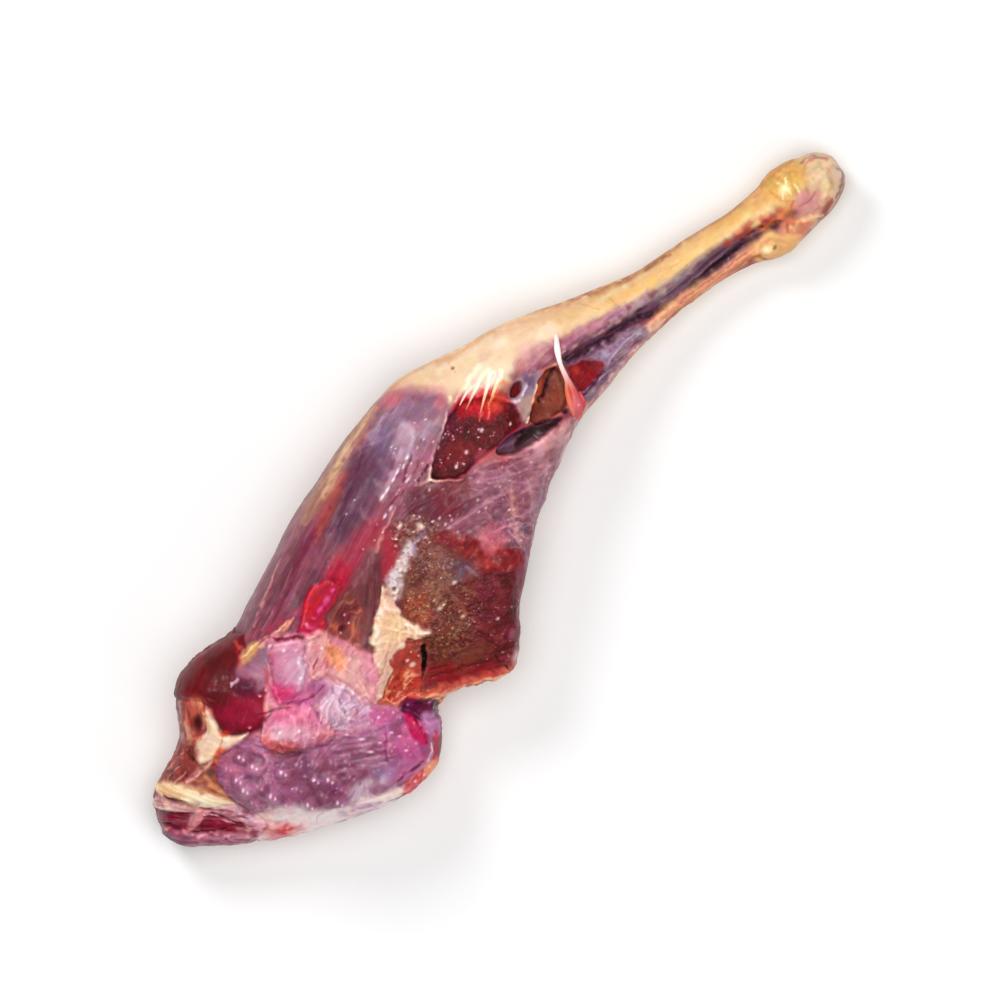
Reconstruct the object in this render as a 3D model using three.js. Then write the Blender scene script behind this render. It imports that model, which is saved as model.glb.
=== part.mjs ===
// A raw leg of mutton, lying on its outer side with the inner side up, as one solid of meat, fat, sinew and bone.
// Millimetres. +X runs from the hip to the hock, +Y towards the shin and kneecap, +Z up from the table.
// Each muscle, bone and sinew is a body swept along its own line. The bodies are blended into one field,
// and the skin is a sphere laid along the leg and pushed out until it meets that field.
import * as THREE from "three";
import { mergeVertices } from "three/addons/utils/BufferGeometryUtils.js";

// Driving dimensions
const SIDES = 56; // faces round the leg
const SECTIONS = 96; // sections along the leg
const BOX_MIDDLE = { x: 1.1, y: 2.8 }; // middle of the leg's outline, which becomes the origin
const BLEND = 7; // width of the soft hollow between two bodies
const OPENING_EDGE = 5; // roundness of an opening's edge
const LUMP = 0.9; // how far the flesh swells and dips
const LUMP_WAVES = [
  [9, 14, 11],
  [-13, 8, 17],
  [19, -11, 9],
];

// How the skin is found
const UP = new THREE.Vector3(0, 0, 1);
const PIECES_PER_STATION = 4;
const FAR = 60;
const SEARCH_FROM = 115;
const SEARCH_STEP = 3;
const BISECTIONS = 7;
const CORE_BISECTIONS = 22;
const THIN_CORE = 0.4;
const TIP_STEP = 0.25;
const RESTING_GAP = 0.05;
const RELAXING_PASSES = 3;
const RELAXING = 0.5; // how far a corner moves towards the middle of its neighbours
const END_CROWDING = 0.3; // 1 crowds the sections into the two ends as on a sphere
const TOP_CROWDING = 0.22; // crowds the faces onto the upper side, which shows most
const RAY_SPREAD = 1.5; // spreads the faces evenly round a section that is wider than it is high

// A line inside the flesh from the hip to the hock, from which the skin is pushed out.
const CORE = [
  [-270, -2, 18],
  [-235, -4, 21],
  [-190, -6, 28],
  [-140, -4, 32],
  [-90, 6, 33],
  [-45, 16, 35],
  [0, 32, 35],
  [50, 36, 30],
  [95, 31, 25],
  [135, 25, 22],
  [175, 16, 19],
  [215, 6, 18],
  [272, 2, 16],
];

// Each station is [along, across, height of the middle, half width, half height].
// square: 1 is a round section and 0.6 a slab. reach: how far an end bulges past its last station.
const BODIES = {
  shin: {
    stations: [
      [238, 9, 18, 12, 13],
      [205, 14.5, 19, 10.5, 12],
      [168, 22.5, 21, 10.5, 12],
      [134, 29, 23, 12, 14],
      [95, 40.5, 27, 15.5, 19],
      [66, 50.5, 31, 20.3, 25],
      [32, 57, 36, 22, 30],
      [6, 62, 38, 24, 33],
    ],
  },
  hock_joint: {
    blend: 5,
    stations: [
      [206, 12, 17, 11, 13],
      [224, 7.5, 17, 15, 17.5],
      [243, 7, 17, 17, 18],
      [266, 2.5, 16, 10.5, 12.5],
    ],
  },
  heel: {
    blend: 4,
    stations: [
      [203, -5, 16, 6, 9],
      [215, -5.5, 16, 10, 14],
      [236, -5.5, 16, 9.5, 14],
      [252, -6, 15, 8, 11],
    ],
  },
  heel_sinew: {
    blend: 2.5,
    stations: [
      [205, -2.5, 17, 5, 7],
      [180, 4.5, 17, 5, 6.5],
      [148, 10, 19, 5.5, 7],
      [122, 12, 22, 6, 10],
      [90, 10, 27, 7.5, 16],
      [58, 10.5, 31, 10, 22],
      [34, 7, 34, 15.5, 24],
    ],
  },
  shank_flexor: {
    blend: 3,
    stations: [
      [204, 6, 17, 5, 7],
      [170, 14, 19, 6, 8],
      [134, 21, 21, 8, 10],
      [100, 28, 25, 13, 16],
      [60, 32, 30, 20, 25],
    ],
  },
  calf: {
    stations: [
      [52, 30, 32, 18, 26],
      [22, 32, 37, 25, 34],
      [-14, 26, 38, 32, 36],
      [-60, 12, 38, 38, 36],
    ],
  },
  kneecap: {
    blend: 8,
    stations: [
      [22, 68, 37, 10, 18],
      [0, 77, 38, 11, 19],
      [-22, 76, 38, 11, 20],
      [-44, 70, 38, 12, 20],
    ],
  },
  front_thigh: {
    blend: 9,
    stations: [
      [12, 60, 38, 24, 34],
      [-28, 55.5, 40, 28.5, 41],
      [-74, 46.5, 41, 31, 43],
      [-116, 35.5, 40, 29, 41],
      [-152, 26, 37, 26.5, 37],
      [-176, 20, 35, 22, 32],
    ],
  },
  ham: {
    stations: [
      [46, 12.5, 33, 14.5, 24],
      [20, 9, 35, 22.5, 29],
      [-10, 4.5, 33, 31.5, 32],
      [-45, -6, 32, 38.5, 32.5],
      [-88, -11, 31, 41, 32],
    ],
  },
  inner_flap: {
    square: 0.62,
    reach: 0.25,
    blend: 4,
    stations: [
      [8, 3, 46, 20, 15],
      [-25, -9, 45, 30.5, 17],
      [-54, -19, 42, 38.5, 18],
      [-78, -33.5, 38, 44.5, 18],
      [-91.5, -51, 33, 42, 17],
    ],
  },
  rump: {
    stations: [
      [-112, 10, 34, 38, 33],
      [-150, 4, 33, 44, 33],
      [-190, 0, 30, 44, 31],
      [-222, 3, 26, 26.5, 27],
      [-248, 4.5, 21, 17, 22],
    ],
  },
  hip_muscle: {
    blend: 4,
    stations: [
      [-166, 36, 40, 16, 24],
      [-182, 35, 39, 22.5, 27],
      [-199, 32, 35, 21, 25],
    ],
  },
  loin: {
    square: 0.85,
    blend: 3.5,
    stations: [
      [-212, -4, 40, 17, 18],
      [-188, -27, 42, 24, 21],
      [-160, -50, 40, 26, 21],
      [-135, -67, 34, 18, 17],
    ],
  },
  belly_rim: {
    square: 0.8,
    blend: 3.5,
    stations: [
      [-267, -1, 16, 8.5, 13],
      [-241, -14.5, 19, 14, 18],
      [-214, -32, 22, 18, 19],
      [-180, -52, 22, 18, 19],
      [-150, -67, 21, 15.5, 17],
      [-132, -74, 20, 9, 13],
    ],
  },
  rim_end: {
    blend: 4,
    stations: [
      [-111, -49, 28, 9.5, 20],
      [-117, -59, 26, 10, 18],
      [-130, -75.5, 20, 10, 14],
    ],
  },
  femur_head: {
    blend: 4,
    stations: [
      [-142, 17, 58, 10, 12],
      [-156, 10, 59, 11, 13],
    ],
  },
  pink_fold: {
    blend: 4,
    stations: [
      [-192, 2, 52, 9, 11],
      [-174, -6, 56, 11, 12],
      [-154, -14, 57, 11, 12],
      [-130, -32, 50, 10, 10],
    ],
  },
  fat_seam: {
    blend: 3,
    stations: [
      [-62, 14, 66, 5, 5],
      [-86, 3, 63, 7, 6],
      [-108, -10, 58, 8, 6],
      [-124, -22, 54, 7, 7],
    ],
  },
};

// Openings in the skin: a lens with the same kind of stations is cut out of the leg.
const OPENINGS = {
  calf_window: {
    stations: [
      [30, 34, 74, 11, 8],
      [12, 35, 78, 14, 9],
      [-8, 32, 81, 9, 9],
    ],
  },
  hock_window: {
    stations: [
      [84, 28, 60, 7, 10],
      [66, 25, 65, 11, 15],
      [46, 22, 71, 9, 13],
    ],
  },
};

// A body's stations joined by a smooth line and cut into short straight pieces.
function piecesOf({ stations, square = 1, reach = 0.75 }) {
  const middle = stations.map(([x, y, z]) => new THREE.Vector3(x, y, z));
  const halves = stations.map((s) => new THREE.Vector3(s[3], s[4], 0));
  const line = new THREE.CatmullRomCurve3(middle, false, "centripetal");
  const size = new THREE.CatmullRomCurve3(halves, false, "catmullrom", 0.5);
  const count = (stations.length - 1) * PIECES_PER_STATION;
  const pieces = [];
  for (let i = 0; i < count; i++) {
    const start = line.getPoint(i / count);
    const step = line.getPoint((i + 1) / count).sub(start);
    const tangent = step.clone().normalize();
    const side = new THREE.Vector3().crossVectors(UP, tangent).normalize();
    const rise = new THREE.Vector3().crossVectors(tangent, side);
    const from = size.getPoint(i / count);
    const to = size.getPoint((i + 1) / count);
    pieces.push({ start, step, tangent, side, rise, from, to, lengthSq: step.lengthSq() });
  }
  const box = new THREE.Box3().setFromPoints(middle);
  const margin = Math.max(...stations.map((s) => Math.max(s[3], s[4])));
  return { pieces, power: 2 / square, reach, box: box.expandByScalar(margin) };
}

// Distance from a point to a body's skin, below zero inside it.
function distanceTo({ pieces, power, reach }, point) {
  const offset = new THREE.Vector3();
  let nearest = Infinity;
  for (const p of pieces) {
    offset.subVectors(point, p.start);
    const t = THREE.MathUtils.clamp(offset.dot(p.step) / p.lengthSq, 0, 1);
    offset.addScaledVector(p.step, -t);
    const halfWidth = p.from.x + (p.to.x - p.from.x) * t;
    const halfHeight = p.from.y + (p.to.y - p.from.y) * t;
    const a = Math.abs(offset.dot(p.side)) / halfWidth;
    const b = Math.abs(offset.dot(p.rise)) / halfHeight;
    const c = Math.abs(offset.dot(p.tangent)) / (reach * Math.min(halfWidth, halfHeight));
    const e = (a ** power + b ** power + c ** power) ** (1 / power);
    const length = offset.length();
    const distance = e < 1e-6 ? -Math.min(halfWidth, halfHeight) : length - length / e;
    nearest = Math.min(nearest, distance);
  }
  return nearest;
}

function smoothMin(a, b, k) {
  const h = Math.max(k - Math.abs(a - b), 0) / k;
  return Math.min(a, b) - (h * h * k) / 4;
}

const bodies = Object.values(BODIES).map((b) => ({ ...piecesOf(b), blend: b.blend ?? BLEND }));
const openings = Object.values(OPENINGS).map((o) => piecesOf(o));

// Below zero inside the leg: all bodies blended into each other, less the openings and the table.
function legField(point) {
  let field = FAR;
  for (const body of bodies) {
    const gap = body.box.distanceToPoint(point);
    if (gap < field + body.blend) field = smoothMin(field, distanceTo(body, point), body.blend);
  }
  for (const opening of openings)
    if (opening.box.distanceToPoint(point) < OPENING_EDGE)
      field = -smoothMin(-field, distanceTo(opening, point), OPENING_EDGE);
  const lump = LUMP_WAVES.reduce(
    (sum, [u, v, w]) => sum + Math.sin(point.x / u + point.y / v + point.z / w),
    0,
  );
  return field + (LUMP * lump) / LUMP_WAVES.length;
}

// Where a ray from the core leaves the leg for good, found from outside inwards.
function skinRadius(core, direction) {
  const point = new THREE.Vector3();
  const inside = (r) => legField(point.copy(core).addScaledVector(direction, r)) < 0;
  const floor = direction.z < 0 ? -core.z / direction.z : Infinity;
  let outer = Math.min(SEARCH_FROM, floor);
  while (outer > 0 && !inside(outer)) outer -= SEARCH_STEP;
  if (outer <= 0) return THIN_CORE;
  let low = outer;
  let high = Math.min(outer + SEARCH_STEP, SEARCH_FROM, floor);
  for (let i = 0; i < BISECTIONS; i++) {
    const mid = (low + high) / 2;
    if (inside(mid)) low = mid;
    else high = mid;
  }
  return low;
}

const coreLine = new THREE.CatmullRomCurve3(CORE.map((c) => new THREE.Vector3(...c)));

// The core's point at a given distance along the leg.
function coreAt(x) {
  let low = 0;
  let high = 1;
  for (let i = 0; i < CORE_BISECTIONS; i++) {
    const mid = (low + high) / 2;
    if (coreLine.getPoint(mid).x < x) low = mid;
    else high = mid;
  }
  const { y, z } = coreLine.getPoint(low);
  return new THREE.Vector3(x, y, z);
}

// Where the core's line enters the flesh, coming from x.
function tipFrom(x, step) {
  let at = x;
  while (legField(coreAt(at)) > 0) at += step;
  return at;
}

// A sphere laid along the leg: its rows become sections of the leg, pushed out to the skin.
function skinGeometry() {
  const geometry = new THREE.SphereGeometry(1, SIDES, SECTIONS);
  geometry.deleteAttribute("normal");
  geometry.deleteAttribute("uv");
  const skin = mergeVertices(geometry);
  const position = skin.getAttribute("position");
  const hipTip = tipFrom(CORE[0][0], TIP_STEP);
  const hockTip = tipFrom(CORE.at(-1)[0], -TIP_STEP);
  for (let i = 0; i < position.count; i++) {
    const p = new THREE.Vector3().fromBufferAttribute(position, i);
    const along = Math.acos(THREE.MathUtils.clamp(p.y, -1, 1)) / Math.PI;
    const crowded = (1 - Math.cos(Math.PI * along)) / 2;
    const share = THREE.MathUtils.lerp(along, crowded, END_CROWDING);
    const core = coreAt(THREE.MathUtils.lerp(hipTip, hockTip, share));
    if (Math.hypot(p.x, p.z) > 1e-6) {
      const turn = Math.atan2(p.z, p.x);
      const eased = turn + TOP_CROWDING * Math.cos(turn);
      const ray = new THREE.Vector3(0, Math.cos(eased) * RAY_SPREAD, Math.sin(eased)).normalize();
      core.addScaledVector(ray, skinRadius(core, ray));
    }
    position.setXYZ(i, core.x, core.y, core.z);
  }
  for (let pass = 0; pass < RELAXING_PASSES; pass++) relax(skin);
  return skin;
}

// Evens out the steps between sections. What rests on the table stays on it.
function relax(skin) {
  const position = skin.getAttribute("position");
  const index = skin.index.array;
  const sums = Array.from({ length: position.count }, () => new THREE.Vector3());
  const counts = new Uint16Array(position.count);
  const corner = new THREE.Vector3();
  for (let i = 0; i < index.length; i += 3)
    for (let k = 0; k < 3; k++) {
      const [from, to] = [index[i + k], index[i + ((k + 1) % 3)]];
      sums[from].add(corner.fromBufferAttribute(position, to));
      counts[from]++;
    }
  for (let i = 0; i < position.count; i++) {
    corner.fromBufferAttribute(position, i);
    const resting = corner.z < RESTING_GAP;
    corner.lerp(sums[i].divideScalar(counts[i]), RELAXING);
    position.setXYZ(i, corner.x, corner.y, resting ? 0 : corner.z);
  }
}

function facingOut(geometry) {
  const position = geometry.getAttribute("position");
  const index = geometry.index.array;
  const [a, b, c] = [0, 1, 2].map(() => new THREE.Vector3());
  let volume = 0;
  for (let i = 0; i < index.length; i += 3) {
    a.fromBufferAttribute(position, index[i]);
    b.fromBufferAttribute(position, index[i + 1]);
    c.fromBufferAttribute(position, index[i + 2]);
    volume += a.dot(b.cross(c));
  }
  if (volume < 0)
    for (let i = 0; i < index.length; i += 3) [index[i + 1], index[i + 2]] = [index[i + 2], index[i + 1]];
  return geometry;
}

function legMesh() {
  const material = new THREE.MeshStandardMaterial({
    color: 0x8c3a42,
    roughness: 0.38,
    metalness: 0,
  });
  const geometry = facingOut(skinGeometry());
  geometry.computeVertexNormals();
  const mesh = new THREE.Mesh(geometry, material);
  mesh.name = "leg";
  mesh.position.set(-BOX_MIDDLE.x, -BOX_MIDDLE.y, 0);
  return mesh;
}

const muttonLeg = new THREE.Group();
muttonLeg.name = "mutton_leg";
muttonLeg.add(legMesh());

export default muttonLeg;
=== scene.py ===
# %% [markdown]
# A raw leg of mutton lies on a pale table with its inner side up. The leg is one piece of meat, so
# the looks are one skin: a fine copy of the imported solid, with relief moved into its points and with
# colour painted on them. The photograph looks straight down, so each muscle, membrane and fat seam
# is outlined in the photograph's pixels and lands on the skin below.

import math

import bmesh
import bpy
import numpy as np
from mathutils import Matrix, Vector


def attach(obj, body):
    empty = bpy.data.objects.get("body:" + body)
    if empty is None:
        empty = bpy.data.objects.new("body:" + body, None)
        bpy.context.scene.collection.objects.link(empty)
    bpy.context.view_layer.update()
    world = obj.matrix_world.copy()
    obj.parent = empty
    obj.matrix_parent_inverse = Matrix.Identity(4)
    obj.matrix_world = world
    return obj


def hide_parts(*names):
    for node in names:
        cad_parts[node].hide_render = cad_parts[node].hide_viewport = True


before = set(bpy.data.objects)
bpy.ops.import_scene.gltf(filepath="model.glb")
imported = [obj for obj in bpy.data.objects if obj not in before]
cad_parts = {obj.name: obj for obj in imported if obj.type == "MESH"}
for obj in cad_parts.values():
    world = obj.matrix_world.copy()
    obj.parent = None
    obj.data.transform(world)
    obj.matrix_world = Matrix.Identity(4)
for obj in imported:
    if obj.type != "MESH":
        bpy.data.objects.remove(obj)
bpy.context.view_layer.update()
leg_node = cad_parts["leg"]
print("the solid has", len(leg_node.data.polygons), "faces")

# %% [markdown]
# Pixels and millimetres meet here. The shank bone gives the scale, and the leg's own long axis runs
# up to the right in the photograph, at the angle below.

# %% Photograph and leg
MM_PER_PIXEL = 0.56
LEG_ANGLE = math.radians(44.5)
PHOTO_SIDE = 1000
LEG_BOX_MIDDLE = np.array([1.1, 2.8])  # where the origin lies on the leg, in mm
COS, SIN = math.cos(LEG_ANGLE), math.sin(LEG_ANGLE)


def to_photo(x_mm, y_mm):
    """Pixel of the photograph above a point of the leg."""
    along = (x_mm + LEG_BOX_MIDDLE[0]) / MM_PER_PIXEL
    across = -(y_mm + LEG_BOX_MIDDLE[1]) / MM_PER_PIXEL
    half = PHOTO_SIDE / 2
    return half + along * COS + across * SIN, half - along * SIN + across * COS


def to_leg(px, py):
    """Point of the leg, in mm, under a pixel of the photograph."""
    dx, dy = px - PHOTO_SIDE / 2, py - PHOTO_SIDE / 2
    x = MM_PER_PIXEL * (dx * COS - dy * SIN) - LEG_BOX_MIDDLE[0]
    y = -MM_PER_PIXEL * (dx * SIN + dy * COS) - LEG_BOX_MIDDLE[1]
    return x, y


# %% [markdown]
# The solid has few and flat faces. Subdivision rounds them, and a voxel remesh then gives the skin
# small even faces, so that relief looks the same in every direction. The underside shows less,
# so most of its faces are merged again.

# %% Make the fine skin
FLAT_PAIR = math.radians(60)  # triangles that meet more flatly than this become one face
SKIN_FACE = 0.00074
ROUNDING_LEVELS = 2
KEPT_SHARE = 0.72


def add_object(name, mesh):
    obj = bpy.data.objects.new(name, mesh)
    bpy.context.scene.collection.objects.link(obj)
    return obj


def plain_copy(obj, name):
    """A plain object with what the modifiers of another one make."""
    graph = bpy.context.evaluated_depsgraph_get()
    return add_object(name, bpy.data.meshes.new_from_object(obj.evaluated_get(graph)))


def read(items, entry, width, kind=np.float32):
    """The values of a mesh's points, edges or faces, one row for each."""
    values = np.empty(len(items) * width, kind)
    items.foreach_get(entry, values)
    return values.reshape(-1, width)


def fine_skin(node):
    cage = bmesh.new()
    cage.from_mesh(node.data)
    bmesh.ops.remove_doubles(cage, verts=cage.verts, dist=1e-6)
    flat = {"angle_face_threshold": FLAT_PAIR, "angle_shape_threshold": FLAT_PAIR}
    bmesh.ops.join_triangles(cage, faces=cage.faces, **flat)
    mesh = bpy.data.meshes.new("skin cage")
    cage.to_mesh(mesh)
    cage.free()
    mesh.materials.clear()
    coarse = add_object("skin cage", mesh)
    rounding = coarse.modifiers.new("rounding", "SUBSURF")
    rounding.levels = rounding.render_levels = ROUNDING_LEVELS
    even = coarse.modifiers.new("even faces", "REMESH")
    even.mode = "VOXEL"
    even.voxel_size = SKIN_FACE
    dense = plain_copy(coarse, "even skin")
    bpy.data.objects.remove(coarse)
    low = dense.vertex_groups.new(name="underside")
    for v in dense.data.vertices:
        weight = min(max((-0.1 - v.normal.z) / 0.3, 0.0), 1.0)
        if weight > 0:
            low.add([v.index], weight, "REPLACE")
    fewer = dense.modifiers.new("fewer faces below", "DECIMATE")
    fewer.ratio = KEPT_SHARE
    fewer.vertex_group = "underside"
    whole = plain_copy(dense, "whole skin")
    bpy.data.objects.remove(dense)
    return whole


skin = fine_skin(leg_node)
point_count = len(skin.data.vertices)
print("the skin has", point_count, "points and", len(skin.data.polygons), "faces")

# %% Read the skin's points
points = read(skin.data.vertices, "co", 3).astype(float) * 1000
normals = read(skin.data.vertex_normals, "vector", 3).astype(float)
px, py = to_photo(points[:, 0], points[:, 1])


def fade(value, low, high):
    """0 below low, 1 above high, and smooth between."""
    t = np.clip((value - low) / (high - low), 0, 1)
    return t * t * (3 - 2 * t)


steep = fade(-normals[:, 2], -0.4, -0.1)
pz = points[:, 2] / MM_PER_PIXEL
print("the skin is", round(float(points[:, 2].max()), 1), "mm high")

# %% [markdown]
# Nothing in meat is even. One seeded noise gives every border its wobble, every muscle its streaks
# and every surface its small lumps. It is worked out here for all points at once, or only for those
# where a patch lies.

# %% Noise


def lattice(ix, iy, iz, seed):
    """A fixed random number from 0 to 1 for each corner of a grid."""
    h = (ix * 374761393 + iy * 668265263 + iz * 1103515245 + seed * 97531) & 0xFFFFFFFF
    h = ((h ^ (h >> 13)) * 1274126177) & 0xFFFFFFFF
    h = ((h ^ (h >> 15)) * 2246822519) & 0xFFFFFFFF
    return ((h ^ (h >> 16)) & 0xFFFFF) / 0xFFFFF


def noise(a, b, c, seed):
    """Smooth noise from -1 to 1."""
    cell = [np.floor(v).astype(np.int64) for v in (a, b, c)]
    part = [v - i for v, i in zip((a, b, c), cell)]
    part = [t * t * t * (t * (t * 6 - 15) + 10) for t in part]
    total = 0
    for i in (0, 1):
        for j in (0, 1):
            for k in (0, 1):
                share = (part[0] if i else 1 - part[0]) * (part[1] if j else 1 - part[1])
                share = share * (part[2] if k else 1 - part[2])
                total = total + share * lattice(cell[0] + i, cell[1] + j, cell[2] + k, seed)
    return total * 2 - 1


def covered(where):
    return np.arange(point_count) if where is None else np.flatnonzero(where > 0.01)


def spread(values, some):
    """Puts values worked out for some of the points back among all of them."""
    out = np.zeros(point_count)
    out[some] = values
    return out


def lumps(size_mm, seed, octaves=2, where=None):
    """Noise over the skin, with lumps of about that size."""
    some = covered(where)
    total, scale, height = 0, 1.0 / size_mm, 1.0
    for octave in range(octaves):
        p = points[some] * scale
        total = total + height * noise(p[:, 0], p[:, 1], p[:, 2], seed + octave)
        scale, height = scale * 2.1, height * 0.5
    return spread(total / (2 - 0.5 ** (octaves - 1)), some)


# The photograph ends at the outline, so below it the painted parts and the cover mix by chance.
shown = fade(normals[:, 2] + 0.2 * lumps(9, 15), -0.3, 0.05)
print("the photograph shows", int((shown > 0.5).sum()), "of the points")


def draped(u, v, some, size_px, seed):
    """Noise in the photograph's plane that also changes with height where the skin is steep."""
    values = noise(u, v, u * 0, seed)
    side = np.flatnonzero(steep[some] > 0)
    on_side = noise(u[side], v[side], pz[some][side] / size_px, seed)
    values[side] += steep[some][side] * (on_side - values[side])
    return values


def along_and_across(angle, x, y):
    c, s = math.cos(math.radians(angle)), math.sin(math.radians(angle))
    return x * c - y * s, x * s + y * c


def streaks(angle, length, width, seed, where=None):
    """Noise drawn out along an angle of the photograph, measured from its x axis upwards."""
    some = covered(where)
    x, y = px[some], py[some]
    u, v = along_and_across(angle, x, y)
    u, v = u / length, (v + 5 * draped(x / 60, y / 60, some, 60, seed + 50)) / width
    fine = draped(u * 2.3, v * 2.1, some, width / 2.1, seed + 1)
    return spread(0.65 * draped(u, v, some, width, seed) + 0.35 * fine, some)


def crumple(weight, size_px, light, dark, amount=0.5, height=0.3, angle=0.0, stretch=1.5, seed=0):
    """Film drawn into soft uneven ridges, pale on the ridges and dark between them: painted light and shade.
    """
    some = covered(weight)
    u, v = along_and_across(angle, px[some], py[some])
    u, v = u / (size_px * stretch), v / size_px
    bend = [0.7 * draped(u * 0.6, v * 0.6, some, size_px / 0.6, seed + step) for step in (1, 2)]
    u, v = u + bend[0], v + bend[1]
    ridges, share, scale = 0, 1.0, 1.0
    for octave in range(3):
        lines = draped(u * scale, v * scale, some, size_px / scale, seed + 3 + octave)
        ridges = ridges + share * (1 - np.abs(lines)) ** 3
        share, scale = share * 0.6, scale * 2.2
    ridges = spread((ridges - ridges.mean()) / ridges.std(), some)
    paint(fade(ridges, 0.1, 2.2) * weight, light, amount)
    paint(fade(-ridges, 0.1, 1.6) * weight, dark, amount)
    raise_by(weight * np.clip(ridges, -1.2, 2.2), height * 0.5)


# %% [markdown]
# The brushes work in the photograph's pixels. Each returns a weight for every point, which then
# drives both colour and relief, so a painted edge always has its step in the surface.

# %% Brushes
REACH = 30.0
tint = np.zeros((point_count, 3))
lift = np.zeros(point_count)
wet = np.full(point_count, 0.5)
film = np.zeros(point_count)
grain = np.zeros(point_count)
fibre_angle = np.full(point_count, 45.0)


def smooth_line(line, closed=False, pieces=4):
    """The line's points joined by a Catmull-Rom curve."""
    line = np.array(line, float)
    count = len(line)
    out = []
    for i in range(count if closed else count - 1):
        if closed:
            a, b, c, d = (line[(i + k) % count] for k in (-1, 0, 1, 2))
        else:
            a, b, c, d = (line[min(max(i + k, 0), count - 1)] for k in (-1, 0, 1, 2))
        for t in np.arange(pieces) / pieces:
            cubic = (3 * b - a - 3 * c + d) * t**3
            out.append(0.5 * (2 * b + (c - a) * t + (2 * a - 5 * b + 4 * c - d) * t**2 + cubic))
    if not closed:
        out.append(line[-1])
    return np.array(out)


def near(line, reach):
    low, high = line[:, :2].min(0) - reach, line[:, :2].max(0) + reach
    inside = (px > low[0]) & (px < high[0]) & (py > low[1]) & (py < high[1])
    return np.flatnonzero(inside & (shown > 0))


def wander(some, wobble, size, seed=0):
    """Pixels of some points, moved about a little, so that no border runs smoothly."""
    x, y = px[some], py[some]
    for reach, scale, step in ((wobble, size, 0), (wobble * 0.6, size * 0.35, 5)):
        reach = reach * (1 + 2.5 * steep[some])
        shift_x = reach * draped(x / scale, y / scale, some, scale, seed + 7 + step)
        y = y + reach * draped(x / scale, y / scale, some, scale, seed + 19 + step)
        x = x + shift_x
    return x, y


def inside_depth(outline, wobble, seed=0):
    """How far inside an outline each point is, in pixels. Below zero outside it."""
    line = smooth_line(outline, closed=True)
    some = near(line, REACH)
    x, y = wander(some, wobble, 14, seed)
    best = np.full(len(some), 1e9)
    crossed = np.zeros(len(some), bool)
    for a, b in zip(line, np.roll(line, -1, axis=0)):
        run = b - a
        t = np.clip(((x - a[0]) * run[0] + (y - a[1]) * run[1]) / max(run @ run, 1e-9), 0, 1)
        best = np.minimum(best, (x - a[0] - t * run[0]) ** 2 + (y - a[1] - t * run[1]) ** 2)
        if a[1] != b[1]:
            hit = ((a[1] > y) != (b[1] > y)) & (x < run[0] * (y - a[1]) / run[1] + a[0])
            crossed ^= hit
    depth = np.full(point_count, -REACH)
    depth[some] = np.where(crossed, 1, -1) * np.minimum(np.sqrt(best), REACH)
    return depth


def area(outline, soft=3.0, wobble=2.0):
    """Weight of a patch with a soft edge."""
    return fade(inside_depth(outline, wobble), -soft, soft) * shown


def band(line, half_widths, soft=1.0, wobble=1.2, size=9):
    """Weight of a stroke along a line. Its half width runs through the given values."""
    path = smooth_line(line)
    if np.isscalar(half_widths):
        half_widths = [half_widths]
    steps = np.linspace(0, len(half_widths) - 1, len(path))
    widths = np.interp(steps, range(len(half_widths)), half_widths)
    some = near(path, max(half_widths) * 1.5 + 6)
    x, y = wander(some, wobble, size)
    best = np.full(len(some), 1e9)
    for a, b, wa, wb in zip(path[:-1], path[1:], widths[:-1], widths[1:]):
        run = b - a
        t = np.clip(((x - a[0]) * run[0] + (y - a[1]) * run[1]) / max(run @ run, 1e-9), 0, 1)
        away = np.hypot(x - a[0] - t * run[0], y - a[1] - t * run[1])
        best = np.minimum(best, away / np.maximum(wa + t * (wb - wa), 0.3))
    return spread(1 - fade(best, max(0.0, 1 - soft), 1 + 0.35 * soft), some) * shown


def spot(x, y, radius, stretch=1.0, angle=0.0):
    """Weight of a round or oval spot."""
    some = near(np.array([[x, y]], float), radius * max(stretch, 1.0))
    if not len(some):
        return np.zeros(point_count)
    u, v = along_and_across(angle, px[some] - x, py[some] - y)
    rise = pz[some] - pz[some][np.argmin(u**2 + v**2 - 0.1 * pz[some])]
    inside = 1 - (u / (radius * stretch)) ** 2 - (v / radius) ** 2 - (0.5 * rise / radius) ** 2
    return spread(np.clip(inside, 0, 1) ** 1.5, some) * shown


def paint(weight, colour, amount=1.0):
    some = np.flatnonzero(weight > 0.003)
    share = np.clip(weight[some] * amount, 0, 1)[:, None]
    tint[some] += share * (np.array(colour) / 255 - tint[some])


def raise_by(weight, height_mm):
    lift[:] = lift + weight * height_mm


def finish_as(weight, wetness=None, filmy=None, grainy=None, angle=None):
    """Sets how wet, filmy or grainy a patch is, each from 0 to 1, and which way its fibres run."""
    for store, value in ((wet, wetness), (film, filmy), (grain, grainy)):
        if value is not None:
            store[:] = store + np.clip(weight, 0, 1) * (value - store)
    if angle is not None:
        fibre_angle[weight > 0.5] = angle


def patch(outline, colour, soft=3.0, amount=0.95, wobble=2.0, height=0.0):
    """Paints and lifts a patch. Returns its weight."""
    weight = area(outline, soft, wobble)
    paint(weight, colour, amount)
    raise_by(weight, height)
    return weight


def stroke(line, half_widths, colour, amount=0.85, height=0.0, soft=1.0, broken=0.0):
    """Paints and lifts a stroke. The higher broken is, the more of it noise takes away."""
    weight = band(line, half_widths, soft)
    weight = weight * fade(lumps(3.4, int(line[0][0]), 1, weight), broken - 0.9, broken + 0.3)
    paint(weight, colour, amount)
    raise_by(weight, height)


def blot(x, y, radius, colour, amount=0.85, stretch=1.0, angle=0.0, height=0.0):
    weight = spot(x, y, radius, stretch, angle)
    paint(weight, colour, amount)
    raise_by(weight, height)


def patches(*rows):
    for row in rows:
        patch(*row)


def strokes(*rows):
    for row in rows:
        stroke(*row)


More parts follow.
